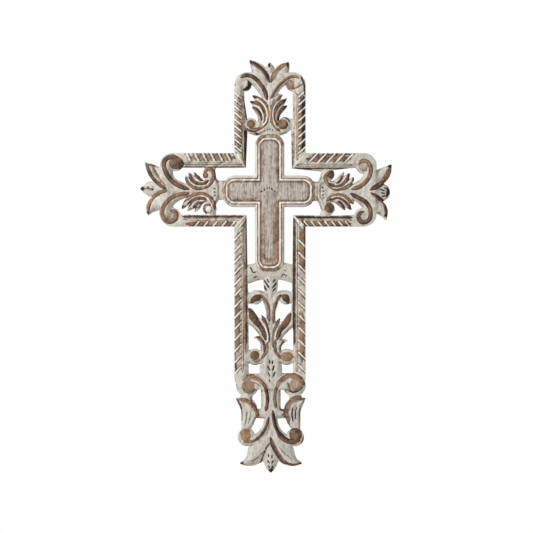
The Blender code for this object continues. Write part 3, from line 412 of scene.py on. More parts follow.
@dataclass(frozen=True)
class Rail:
    """One rail of the frame: its rope, bead and inner bevel, on the sheet.

    `run` is the first and last place of the rope's cuts on the outer edge, and `slant` goes from
    there to a cut's inner end. `rope`, `bead` and `bevel` are (start, end, width) of these bands.
    `strand` lists the marks of one cut: (mark, width, strength, how far along the edge it lies).
    """

    run: tuple[Place, Place]
    pitch: float
    slant: Place
    rope: tuple[Place, Place, float]
    bead: tuple[Place, Place, float]
    bevel: tuple[Place, Place, float]
    rubbed: float = 0.6
    shade: float = 0.9
    strand: tuple[tuple[Mark, float, float, float], ...] = (
        (STAIN, 1.3, 0.8, 1.5), (STAIN, 1.1, 0.6, -1.875), (LINE, 1.6, 0.9, 0.0),
    )
    overrun: float = 0.3

    def bands(self) -> list[Stroke]:
        """Lists the rail's long strokes.

        Returns:
            The rubbed rope, the stained bevel and the bead.
        """
        return [
            Stroke(mark, band[2], self.middle(*band[:2]), strength)
            for mark, band, strength in (
                (BARE, self.rope, self.rubbed), (STAIN, self.bevel, self.shade), (BEAD, self.bead, 1.0)
            )
        ]

    def cuts(self) -> list[Stroke]:
        """Lists the rope's white strands, each between two stained cuts.

        Returns:
            The strokes, from the first place of the run to its last.
        """
        (x0, y0), (x1, y1) = self.run
        along = math.dist(*self.run)
        count = round(along / self.pitch)
        made = []
        for i in range(count + 1):
            for mark, width, strength, aside in self.strand:
                share = i / count + aside / along
                edge = (x0 + (x1 - x0) * share, y0 + (y1 - y0) * share)
                start = (edge[0] - self.slant[0] * self.overrun, edge[1] - self.slant[1] * self.overrun)
                end = (edge[0] + self.slant[0], edge[1] + self.slant[1])
                made.append(Stroke(mark, width, self.middle(start, end), strength))
        return made

    def middle(self, start: Place, end: Place) -> tuple[Place, ...]:
        """Adds the middle of a straight stroke.

        Args:
            start: its start.
            end: its end.

        Returns:
            Start, middle and end.
        """
        return (start, ((start[0] + end[0]) / 2, (start[1] + end[1]) / 2), end)


@dataclass(frozen=True)
class Frame:
    """The frame's eight rails, the mitres where they meet, and the stretches that are rubbed more."""

    rails: tuple[Rail, ...] = (
        Rail(((234.8, 93), (236, 147)), 6.8, (6.5, 5.4), ((238.8, 97), (239.4, 148), 5.8),
             ((243, 96), (243.4, 160), 1.5), ((245.2, 97), (246.8, 120), 2.4), 0.55, 1.0),
        Rail(((305.4, 91), (305.4, 147)), 8.0, (-7.2, 6.6), ((301.8, 95), (301.8, 149), 6.8),
             ((297.4, 94), (297.4, 160), 1.4), ((293, 95), (292.6, 120), 1.0), 0.35, 0.35),
        Rail(((187, 153.8), (235, 153.8)), 8.3, (4, 8), ((188, 157.6), (236, 157.6), 6.8),
             ((184, 163.6), (243, 163.8), 1.6), ((183, 167), (245, 167), 1.8), 0.75, 0.7),
        Rail(((195, 226.4), (240, 226.4)), 8.5, (4.6, -5.6), ((188, 223.6), (236, 223.6), 5.6),
             ((184, 219.2), (243, 219.2), 1.6), ((182, 216.6), (244, 216.6), 2.6), 0.8, 0.9),
        Rail(((316, 155), (352, 155)), 8.8, (-7.6, 8), ((306, 158.8), (351, 158.6), 7.0),
             ((297, 165.2), (352, 165), 1.6), ((294, 168.4), (352, 168.2), 1.7), 0.85, 0.8),
        Rail(((302, 226.8), (350, 226.8)), 7.2, (-5, -6), ((300, 223.8), (352, 223.8), 5.8),
             ((296, 220), (352, 220), 1.5), ((294, 217.2), (353, 217.6), 2.4), 0.8, 0.9),
        Rail(((234.8, 240), (234.8, 373.6)), 11.3, (7, -7.5), ((237.8, 230), (237.8, 372), 6.6),
             ((243, 222), (242.6, 372), 1.5), ((246.2, 217), (246.9, 345), 1.7), 0.55, 0.85),
        Rail(((305.6, 247), (305.8, 372)), 12.6, (-7.6, -7.6), ((301.8, 232), (302, 370), 7.6),
             ((296.6, 222), (297, 372), 1.5), ((294.2, 217), (294, 345), 2.8), 0.4, 0.9),
    )
    mitres: tuple[Stroke, ...] = (
        *cut(LINE, 1, (1.4, 236.5, 153.5, 245, 167.5), (1.4, 304, 155, 293, 168), (1.4, 236, 226, 245.5, 216),
             (1.4, 304.5, 226.5, 293.5, 216)),
    )
    rubbed: tuple[Stroke, ...] = (
        *cut(RIDGE, 0.7, (3.6, 301.4, 98, 301.6, 120, 301.6, 150)),
        *cut(STAIN, 0.95, (3.8, 303.6, 96, 303.8, 120, 303.6, 152)),
        *cut(BARE, 0.45, (1.8, 294.8, 92, 294.8, 120, 294.4, 158)),
        *cut(STAIN, 0.6, (1.2, 235, 120, 235.2, 135, 235.4, 150)),
        *cut(STAIN, 0.95, (2.8, 245.6, 128, 245.9, 150, 245.9, 172)),
        *cut(STAIN, 0.7, (1.6, 292.6, 132, 292.6, 150, 292.8, 170)),
        *cut(STAIN, 0.85, (2.0, 218, 167.8, 232, 167.8, 249, 167.8)),
        *cut(STAIN, 0.75, (2.0, 291, 168.4, 300, 168.4, 312, 169)),
        *cut(CHIP, 0.8, (1.4, 234.6, 84, 236.2, 85.6), (1.4, 238.8, 97, 239.6, 100), (1.8, 237, 103,
             240, 104.8)),
        *cut(STAIN, 0.6, (1.1, 190, 154, 212, 154, 234, 154)),
        *cut(STAIN, 0.8, (1.4, 306, 155, 330, 154.6, 352, 154.6)),
        *cut(STAIN, 0.6, (1.6, 188, 225.6, 212, 225.8, 236, 225.8), (1.6, 302, 226, 326, 226, 352, 226)),
        *cut(DARK, 0.7, (3.4, 186, 224, 193, 223.6, 200, 223.4)),
        *cut(DARK, 0.6, (3.4, 332, 224, 340, 224, 349, 224)),
        *cut(RIDGE, 0.66, (6.0, 302, 222, 302, 246, 302, 270)),
        *cut(STAIN, 0.6, (1.8, 304.6, 222, 304.8, 246, 304.8, 270)),
        *cut(TAN, 0.7, (1.8, 244.6, 262, 244.6, 305, 244.8, 350)),
        *cut(RIDGE, 0.6, (5.0, 237.8, 292, 237.8, 320, 237.8, 352), (5.0, 301.8, 312, 302, 335, 302, 362)),
        *cut(STAIN, 0.8, (1.6, 235, 352, 235.4, 362, 236, 372)),
        *cut(RIDGE, 0.7, (4.0, 239, 118, 239.2, 134, 239.4, 148)),
    )

    def ornament(self) -> Ornament:
        """Gathers the strokes of all rails.

        Returns:
            The frame as an ornament, the bands first and the mitres last.
        """
        bands = [stroke for rail in self.rails for stroke in rail.bands()]
        cuts = [stroke for rail in self.rails for stroke in rail.cuts()]
        return Ornament("frame", (*bands, *self.rubbed, *cuts, *self.mitres))


@dataclass(frozen=True)
class InnerCross:
    """The moulded cross in the middle: two bars with round corners, in steps of the sheet.

    `insets` are distances from its edge, and `bare`, `dark`, `lime` and `rise` are the finish and
    the relief at each of them. Beyond `panel` lies the flat panel, which keeps a brown-grey wash
    with the grain showing.
    """

    post: tuple[float, float, float, float] = (254.9, 134.3, 284.4, 271.5)
    beam: tuple[float, float, float, float] = (222.6, 175.6, 315.2, 206.8)
    radius: float = 11.9
    insets: tuple[float, ...] = (-0.5, 0.6, 2.0, 2.8, 3.5, 4.2, 4.9, 5.6, 6.4, 7.4)
    bare: tuple[float, ...] = (0.6, 0.15, 0.2, 0.85, 0.25, 0.0, 0.15, 0.95, 0.7, 0.2)
    dark: tuple[float, ...] = (0.6, 0.1, 0.05, 0.85, 0.15, 0.0, 0.15, 0.6, 0.2, 0.05)
    lime: tuple[float, ...] = (0.0, 0.5, 0.6, 0.1, 0.7, 1.0, 0.6, 0.0, 0.0, 0.0)
    rise: tuple[float, ...] = (0.0, 0.0, 0.15, -0.35, 0.2, 0.35, 0.1, -0.55, -0.35, -0.1)
    panel: float = 5.4
    margin: float = 1.0
    worn: tuple[Stroke, ...] = (
        *cut(BARE, 0.62, (5.0, 275, 203, 275.2, 232, 275, 262)),
        *cut(BARE, 0.45, (3.0, 263, 150, 263.4, 164, 263, 178), (2.6, 276, 146, 276, 160, 276, 176)),
        *cut(BARE, 0.55, (3.0, 264.2, 210, 264.4, 236, 264.2, 260)),
        *cut(BARE, 0.66, (9.0, 264, 258, 270, 260, 276, 258)),
        *cut(BARE, 0.5, (3.4, 232, 199, 244, 199.6, 258, 199)),
        *cut(BARE, 0.4, (2.6, 282, 184, 294, 183.4, 305, 184)),
        *cut(BARE, 0.45, (5.0, 229.6, 186, 229.4, 191, 229.8, 197)),
        *cut(BARE, 0.85, (1.8, 256.6, 146, 258.8, 139.6, 263, 136.2, 269.8, 135, 276.4, 136.2, 280.8, 139.6,
             282.8, 146)),
        *cut(BARE, 0.8, (1.8, 308, 177.2, 312.4, 181.4, 314, 191, 312.4, 201, 308, 205.2)),
        *cut(BARE, 0.6, (1.6, 230, 177.4, 225.4, 182, 224, 191, 225.4, 200.6, 230, 205)),
    )
    chips: tuple[Stroke, ...] = (
        *cut(CHIP, 1, (1.7, 260.8, 192.4, 262.6, 190.8), (1.7, 264, 190.8, 265.4, 188.8),
             (1.7, 266.8, 189.4, 267.6, 187.2), (1.7, 269.2, 187, 269.6, 189), (1.7, 271.4, 188, 272.8, 190),
             (1.7, 274, 190.6, 275.8, 191.8)),
    )

    def inset(self, x: np.ndarray, y: np.ndarray) -> np.ndarray:
        """Measures how far each place lies inside the cross.

        Args:
            x: x of the places on the sheet.
            y: y of the places on the sheet.

        Returns:
            Distances in steps, negative outside.
        """
        depths = []
        for left, top, right, bottom in (self.post, self.beam):
            dx = np.abs(x - (left + right) / 2) - (right - left) / 2 + self.radius
            dy = np.abs(y - (top + bottom) / 2) - (bottom - top) / 2 + self.radius
            corner = np.hypot(np.maximum(dx, 0), np.maximum(dy, 0))
            depths.append(self.radius - corner - np.minimum(np.maximum(dx, dy), 0))
        return np.maximum(*depths)

    def ornament(self) -> Ornament:
        """Gathers the worn places and the chips at the crossing."""
        return Ornament("inner cross", self.worn + self.chips)


@dataclass
class Carving:
    """The sheet as grids: height in steps, then bare wood, dark stain, lime and panel wash.

    Steep wood is rubbed bare, partly as painted shade on the sides of the carving, and the wood along
    each outline is darkened as painted shade. A mark's colour fades across its edge, a groove runs
    along the edge, and a pale rim of lime lies just outside it.
    """

    pitch: float = 0.3
    low: Place = (136.0, 55.0)
    high: Place = (397.0, 478.0)
    least_area: float = 1e-9
    overlap: float = 1e-3
    least_spread: float = 1e-6
    height_blurs: int = 4
    outline_blurs: int = 3
    steep: float = 0.45
    steep_wear_and_shade: float = 0.75
    most_steep_wear_and_shade: float = 0.55
    outline_shade: float = 1.9
    most_outline_shade: float = 0.62
    blunt_end: float = 0.2
    end_taper: float = 0.5
    edge_width: float = 0.75
    spot_margin: float = 2.0
    edge_depth: float = 0.6
    edge_fade: float = 0.7
    edge_dark: float = 0.8
    lit_side_edge: float = 0.1
    most_edge: float = 1.1
    rim_distance: float = 1.5
    rim_width: float = 0.9
    rim_lime: float = 0.6
    rim_from: float = 0.6
    lit_side_bare: float = 0.35
    shaded_side_dark: float = 0.32
    detail_shares: tuple[tuple[str, float], ...] = (("bare", 1.2), ("dark", 1.2), ("lime", 0.6))
    detail_blurs: int = 3
    grids: dict[str, np.ndarray] = field(default_factory=dict)

    def __post_init__(self) -> None:
        """Lays out the empty grids."""
        self.xs = np.arange(self.low[0], self.high[0], self.pitch)
        self.ys = np.arange(self.low[1], self.high[1], self.pitch)
        for name in ("height", "bare", "dark", "lime", "panel"):
            self.grids[name] = np.zeros((len(self.ys), len(self.xs)))

    def window(self, low: Place, high: Place) -> tuple[tuple[slice, slice], np.ndarray, np.ndarray]:
        """Finds the grid between two corners.

        Args:
            low: the corner with the smaller coordinates.
            high: the other corner.

        Returns:
            The slices, then x and y of their nodes.
        """
        i0, i1 = np.searchsorted(self.xs, (low[0], high[0]))
        j0, j1 = np.searchsorted(self.ys, (low[1], high[1]))
        return (slice(j0, j1), slice(i0, i1)), *np.meshgrid(self.xs[i0:i1], self.ys[j0:j1])

    def lay_surface(self, triangles: np.ndarray) -> None:
        """Reads the solid's front into the height grid and eases its facets, then bares steep wood, partly as
        painted shade, and darkens the outlines as painted shade.

        Args:
            triangles: rows of three corners, each x, y on the sheet and height in steps.
        """
        heights = np.full(self.grids["height"].shape, np.nan)
        for corners in triangles:
            where, x, y = self.window(corners[:, :2].min(0), corners[:, :2].max(0) + self.pitch)
            (x0, y0, h0), (x1, y1, h1), (x2, y2, h2) = corners
            area = (x1 - x0) * (y2 - y0) - (x2 - x0) * (y1 - y0)
            if x.size == 0 or abs(area) < self.least_area:
                continue
            b1 = ((x - x0) * (y2 - y0) - (x2 - x0) * (y - y0)) / area
            b2 = ((x1 - x0) * (y - y0) - (x - x0) * (y1 - y0)) / area
            b0 = 1 - b1 - b2
            covered = np.minimum(np.minimum(b0, b1), b2) > -self.overlap
            heights[where] = np.where(covered, b0 * h0 + b1 * h1 + b2 * h2, heights[where])
        wood = np.isfinite(heights).astype(float)
        known = wood
        total = np.nan_to_num(heights)
        for _ in range(self.height_blurs):
            spread = blur(known)
            total = np.where(spread > 0, blur(total) / np.maximum(spread, self.least_spread), 0)
            known = (spread > 0).astype(float)
        self.grids["height"] = total
        # Bare wood on steep slopes: partly rubbed wear, partly painted shade that picks out the sides of the
        # carving.
        slope = np.hypot(*np.gradient(total, self.pitch)) * wood
        self.grids["bare"] = np.clip(self.steep_wear_and_shade * (slope - self.steep), 0, self.most_steep_wear_and_shade)
        # Painted shade: a blurred band along each outline of the wood is darkened, as if its edges and the
        # openings lay in shade.
        rim = 1 - blur(wood, self.outline_blurs)
        self.grids["dark"] = np.clip(self.outline_shade * rim, 0, self.most_outline_shade) * wood

    def apply(self, stroke: Stroke) -> None:
        """Carves and colours along one stroke.

        Args:
            stroke: the stroke.
        """
        curve = smooth_curve(stroke.path)
        half = stroke.width / 2
        reach = half + 2 * self.edge_width
        where, x, y = self.window(curve.min(0) - reach, curve.max(0) + reach)
        share = np.linspace(0, 1, len(curve))
        from_end = np.minimum(share, 1 - share) * len(curve) * self.end_taper / stroke.width
        beyond = np.full(x.shape, np.inf)
        aside = np.zeros(x.shape)
        headings = np.gradient(curve, axis=0)
        headings /= np.linalg.norm(headings, axis=1)[:, None]
        for (px, py), (dx, dy), size in zip(curve, headings, np.minimum(from_end + self.blunt_end, 1)):
            distance = np.hypot(x - px, y - py) - half * size
            nearer = distance < beyond
            beyond = np.where(nearer, distance, beyond)
            aside = np.where(nearer, (dx * (y - py) - dy * (x - px)) / half, aside)
        # Painted shade: the stroke's shaded side gets darker and its lit side fades to the wash.
        shade = 1 + stroke.side.value * np.clip(aside, -1, 1)
        self._mark(where, beyond, half, stroke.mark, stroke.strength, shade)

    def apply_spot(self, spot: Spot) -> None:
        """Carves and colours one ball.

        Args:
            spot: the ball.
        """
        centre = np.array(spot.centre)
        reach = spot.radius + self.spot_margin
        where, x, y = self.window(centre - reach, centre + reach)
        beyond = np.hypot(x - centre[0], y - centre[1]) - spot.radius
        self._mark(where, beyond, spot.radius, spot.mark, spot.strength, np.ones(x.shape))

    def _mark(self, where: tuple[slice, slice], beyond: np.ndarray, half: float, mark: Mark, strength: float,
              shade: np.ndarray) -> None:
        """Adds a mark's relief and colour.

        Args:
            where: the window of the grids.
            beyond: distance of its nodes outside the mark, negative inside.
            half: the mark's half width.
            mark: the mark.
            strength: share of the colour that is used.
            shade: painted shade across the mark: 1 where it is plain, up to 2 on its shaded side and down to
                0 on its lit one.
        """
        rise, bare, dark, edge, lime = mark.value
        within = np.clip(-beyond / half, 0, 1)
        groove = np.clip(1 - np.abs(beyond) / self.edge_width, 0, 1)
        profile = np.sqrt(1 - (1 - within) ** 2) - self.edge_depth * groove * (edge > 0) * (rise > 0)
        self.grids["height"][where] += rise * MM / STEP * profile
        cover = np.clip(0.5 - beyond / self.edge_fade, 0, 1) * strength
        rim = np.clip(1 - np.abs(beyond - self.rim_distance) / self.rim_width, 0, 1) * (edge > self.rim_from)
        # Painted shade across the mark: less bare wood on its lit side, more stain on its shaded side, and an
        # edge line that fades on the lit side.
        pale = np.minimum(self.lit_side_bare + (1 - self.lit_side_bare) * shade, 1)
        stain_and_shade = np.maximum(dark + self.shaded_side_dark * (shade - 1), 0)
        outline = groove * edge * np.minimum(shade + self.lit_side_edge, self.most_edge)
        for name, amount, line in (
            ("bare", bare * pale, outline), ("dark", stain_and_shade, self.edge_dark * outline),
            ("lime", lime, self.rim_lime * rim),
        ):
            grid = self.grids[name]
            grid[where] = grid[where] * (1 - cover) + amount * cover
            grid[where] = np.maximum(grid[where], line * strength)

    def wash_inner_cross(self, cross: InnerCross) -> None:
        """Colours the inner cross by the distance from its edge.

        Args:
            cross: the inner cross.
        """
        low = (cross.beam[0] - cross.margin, cross.post[1] - cross.margin)
        high = (cross.beam[2] + cross.margin, cross.post[3] + cross.margin)
        where, x, y = self.window(low, high)
        inset = cross.inset(x, y)
        inside = inset > cross.insets[0]
        for name in ("bare", "dark", "lime"):
            grid = self.grids[name]
            grid[where] = np.where(inside, np.interp(inset, cross.insets, getattr(cross, name)), grid[where])
        self.grids["height"][where] += np.where(inside, np.interp(inset, cross.insets, cross.rise), 0)
        self.grids["panel"][where] = np.clip(inset - cross.panel, 0, 1)

    def add_detail(self) -> None:
        """Marks where the relief bends and the colours change, as the grid "detail"."""
        detail = sum(
            share * np.hypot(*np.gradient(self.grids[name], self.pitch)) for name, share in self.detail_shares
        )
        down, across = np.gradient(self.grids["height"], self.pitch)
        bend = np.abs(np.gradient(down, self.pitch, axis=0)) + np.abs(np.gradient(across, self.pitch, axis=1))
        self.grids["detail"] = blur(detail + bend, self.detail_blurs)

    def read(self, name: str, points: np.ndarray) -> np.ndarray:
        """Reads a grid at places between its nodes.

        Args:
            name: the grid.
            points: rows of x and y on the sheet.

        Returns:
            One value for each row.
        """
        grid = self.grids[name]
        u = (points[:, 0] - self.xs[0]) / self.pitch
        v = (points[:, 1] - self.ys[0]) / self.pitch
        i = np.clip(u.astype(int), 0, len(self.xs) - 2)
        j = np.clip(v.astype(int), 0, len(self.ys) - 2)
        u, v = u - i, v - j
        upper = grid[j, i] * (1 - u) + grid[j, i + 1] * u
        lower = grid[j + 1, i] * (1 - u) + grid[j + 1, i + 1] * u
        return upper * (1 - v) + lower * v


@dataclass
class RimTest:
    """Tells which places lie inside closed outlines, by rows of the sheet."""

    rim: np.ndarray
    edges: list[tuple[int, int]]

    def __call__(self, places: np.ndarray) -> np.ndarray:
        """Counts the outlines to the right of each place.

        Args:
            places: rows of x and y.

        Returns:
            True for each place inside.
        """
        order = np.argsort(places[:, 1], kind="stable")
        rows = places[order, 1]
        odd = np.zeros(len(places), bool)
        for a, b in self.edges:
            (x0, y0), (x1, y1) = self.rim[a], self.rim[b]
            if y0 == y1:
                continue
            low, high = np.searchsorted(rows, (min(y0, y1), max(y0, y1)))
            chosen = order[low:high]
            crossing = x0 + (places[chosen, 1] - y0) * (x1 - x0) / (y1 - y0)
            odd[chosen] ^= places[chosen, 0] < crossing
        return odd


@dataclass
class CarvedBoard:
    """The board: the frame's solid with the fine carving on its front.

    `point_spacing`, `rim_spacing` and `clear_of_rim` are in steps of the sheet, and `arris` and
    `behind_front` in metres. `side_wear` and `back_wear` are bare wood, stain, panel wash and lime.
    """

    solid: bpy.types.Object
    front_slope: float = 0.05
    least_depth: float = 0.001
    flat: float = 1e-6
    same_place_digits: int = 6
    point_spacing: float = 0.5
    coarse_rows: int = 3
    most_places: int = 80000
    rim_spacing: float = 0.8
    clear_of_rim: float = 0.34
    behind_front: float = 1e-5
    sharp_angle: float = math.radians(50)
    arris: float = 0.0009
    side_wear: Colour = (0.3, 0.1, 0.0, 0.0)
    back_wear: Colour = (0.85, 0.0, 0.0, 0.1)

    def __post_init__(self) -> None:
        """Reads the solid's corners and its foremost y."""
        self.corners = np.array([v.co for v in self.solid.data.vertices])
        self.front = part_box(self.solid.name)[0].y

    def to_sheet(self, points: np.ndarray) -> np.ndarray:
        """Lays board coordinates on the sheet.

        Args:
            points: rows of x and z in metres.

        Returns:
            Rows of x and y in steps.
        """
        return np.column_stack([points[:, 0] / STEP + CROSSING[0], CROSSING[1] - points[:, 1] / STEP])

    def front_triangles(self) -> np.ndarray:
        """Reads the solid's carved front.

        Returns:
            Rows of three corners, each x, y on the sheet and height from the back in steps.
        """
        rows = []
        for face in self.solid.data.polygons:
            corners = self.corners[list(face.vertices)]
            if face.normal.y < -self.front_slope and corners[:, 1].max() < -self.least_depth:
                rows.append(np.column_stack([self.to_sheet(corners[:, [0, 2]]), -corners[:, 1] / STEP]))
        return np.array(rows)

    def outlines(self) -> list[np.ndarray]:
        """Reads the closed outlines of the solid's flat back.

        Returns:
            For each outline its places on the sheet, in order.
        """
        keys = {}
        places = np.round(self.corners, self.same_place_digits)
        number = [keys.setdefault(tuple(place), k) for k, place in enumerate(places)]
        uses = {}
        for face in self.solid.data.polygons:
            corners = [number[v] for v in face.vertices]
            if np.abs(self.corners[corners][:, 1]).max() < self.flat:
                for a, b in zip(corners, corners[1:] + corners[:1]):
                    uses[(a, b)] = True
        following = {a: b for a, b in uses if (b, a) not in uses}
        loops = []
        while following:
            loop = [next(iter(following))]
            while loop[-1] in following:
                loop.append(following.pop(loop[-1]))
            loops.append(self.to_sheet(self.corners[loop[:-1]][:, [0, 2]]))
        return loops

    def split_outline(self, loop: np.ndarray) -> np.ndarray:
        """Adds places along an outline so that its edge can follow the fine carving.

        Args:
            loop: places on the sheet.

        Returns:
            More places, on the same straight pieces.
        """
        rows = []
        for start, end in zip(loop, np.roll(loop, -1, axis=0)):
            pieces = max(1, round(math.dist(start, end) / self.rim_spacing))
            rows.append(start + (end - start) * (np.arange(pieces) / pieces)[:, None])
        return np.vstack(rows)

    def inner_places(self, rim: np.ndarray, inside: RimTest, carving: Carving) -> np.ndarray:
        """Spreads places over the wood, clear of its outlines and closer where there is more detail.

        Args:
            rim: the places on the outlines.
            inside: tells which places lie in the wood.
            carving: the grids, with their detail.

        Returns:
            Rows of x and y on the sheet.
        """
        pitch = self.point_spacing
        xs = np.arange(rim[:, 0].min(), rim[:, 0].max(), pitch)
        ys = np.arange(rim[:, 1].min(), rim[:, 1].max(), pitch * math.sqrt(3) / 2)
        x, y = np.meshgrid(xs, ys)
        x[1::2] += pitch / 2
        always = np.zeros(x.shape, bool)
        always[:: self.coarse_rows, :: self.coarse_rows] = True
        places = np.column_stack([x.ravel(), y.ravel()])
        wanted = carving.read("detail", places)
        wanted[always.ravel()] = np.inf
        within = inside(places)
        places, wanted = places[within], wanted[within]
        places = places[np.sort(np.argsort(-wanted, kind="stable")[: self.most_places])]
        near = {}
        for k, cell in enumerate(rim.astype(int)):
            near.setdefault(tuple(cell), []).append(k)
        keep = np.ones(len(places), bool)
        for k, (column, row) in enumerate(places.astype(int)):
            found = [m for i in (-1, 0, 1) for j in (-1, 0, 1) for m in near.get((column + i, row + j), ())]
            if found and np.hypot(*(rim[found] - places[k]).T).min() < self.clear_of_rim:
                keep[k] = False
        return places[keep]

    def build(self, carving: Carving) -> bpy.types.Object:
        """Makes the finely carved board: its front, a ring round each arris, and its back.

        Args:
            carving: the grids to read heights and colours from.

        Returns:
            The new object, with its colour grids as an attribute.
        """
        loops = [self.split_outline(loop) for loop in self.outlines()]
        rim = np.vstack(loops)
        edges = []
        for loop in loops:
            first, count = len(edges), len(loop)
            edges += [(first + k, first + (k + 1) % count) for k in range(count)]
        inside = RimTest(rim, edges)
        carving.add_detail()
        places = np.vstack([rim, self.inner_places(rim, inside, carving)])
        count, rim_count = len(places), len(rim)
        log.info("outlines: %d places, inner: %d places", rim_count, count - rim_count)
        heights = np.minimum(carving.read("height", places) * STEP, -self.front - self.behind_front)
        x = (places[:, 0] - CROSSING[0]) * STEP
        z = (CROSSING[1] - places[:, 1]) * STEP
        vertices = [np.column_stack([x, -heights, z])]
        for depth in (self.arris - heights[:rim_count], np.full(rim_count, -self.arris), np.zeros(rim_count)):
            vertices.append(np.column_stack([x[:rim_count], depth, z[:rim_count]]))
        rings = (0, *range(count, count + 3 * rim_count, rim_count))
        faces = triangulate(places, edges, inside)
        faces += [tuple(rings[-1] + k for k in reversed(face)) for face in triangulate(rim, edges, inside)]
        for above, below in zip(rings, rings[1:]):
            faces += [(above + a, above + b, below + b, below + a) for a, b in edges]
        mesh = bpy.data.meshes.new("carved_board")
        mesh.from_pydata(np.vstack(vertices).tolist(), [], faces)
        made = bmesh.new()
        made.from_mesh(mesh)
        bmesh.ops.recalc_face_normals(made, faces=made.faces)
        made.to_mesh(mesh)
        made.free()
        mesh.shade_smooth()
        mesh.set_sharp_from_angle(angle=self.sharp_angle)
        self.add_colours(mesh, carving, places, rim_count)
        board = bpy.data.objects.new("carved_board", mesh)
        bpy.context.scene.collection.objects.link(board)
        return board

    def add_colours(self, mesh: bpy.types.Mesh, carving: Carving, places: np.ndarray, rim_count: int) -> None:
        """Stores bare wood, stain with painted shade, panel wash and lime, which also gives bare wood a
        painted tan highlight, at each vertex.

        Args:
            mesh: the board's mesh: the front's vertices, two rings round the sides, then the back's.
            carving: the grids.
            places: the front's places on the sheet.
            rim_count: how many of them are on the outlines, and so in each ring and on the back.
        """
        front = np.column_stack([carving.read(name, places) for name in ("bare", "dark", "panel", "lime")])
        sides = np.tile(self.side_wear, (2 * rim_count, 1))
        back = np.tile(self.back_wear, (rim_count, 1))
        # Besides wear, the attribute carries painted shade in its stain channel and a painted tan highlight
        # in its lime channel.
        attribute = mesh.attributes.new("wear_and_painted_light", "FLOAT_COLOR", "POINT")
        attribute.data.foreach_set("color", np.vstack([front, sides, back]).astype(np.float32).ravel())


def triangulate(places: np.ndarray, edges: list[tuple[int, int]], inside: RimTest,
                joined: float = 1e-6) -> list[tuple[int, ...]]:
    """Joins places to triangles that keep to the wood.

    Args:
        places: rows of x and y.
        edges: pairs of places that are joined along the outlines.
        inside: tells which places lie in the wood.
        joined: distance below which two places count as one, in steps.

    Returns:
        The places of each triangle.
    """
    flat = [Vector(place) for place in places.tolist()]
    points, _, faces, _, _, _ = delaunay_2d_cdt(flat, edges, [], 0, joined)
    if len(points) != len(flat):
        raise ValueError("outlines cross")
    corners = np.array(faces)
    return [tuple(face) for face in corners[inside(places[corners].mean(axis=1))].tolist()]


def add_node(tree: bpy.types.NodeTree, kind: str, settings: dict,
             output: int | str = 0) -> bpy.types.NodeSocket | None:
    """Adds a shader node with its settings and links.

    Args:
        tree: the node tree.
        kind: the node's type.
        settings: by the name or number of an input, or the name of a property: a value, or the
            socket that the input is linked to.
        output: which output is wanted.

    Returns:
        That output, if the node has any.
    """
    node = tree.nodes.new(kind)
    for name, value in settings.items():
        if isinstance(value, bpy.types.NodeSocket):
            tree.links.new(value, node.inputs[name])
        elif isinstance(name, int) or name in node.inputs:
            node.inputs[name].default_value = value
        else:
            setattr(node, name, value)
    return node.outputs[output] if node.outputs else None


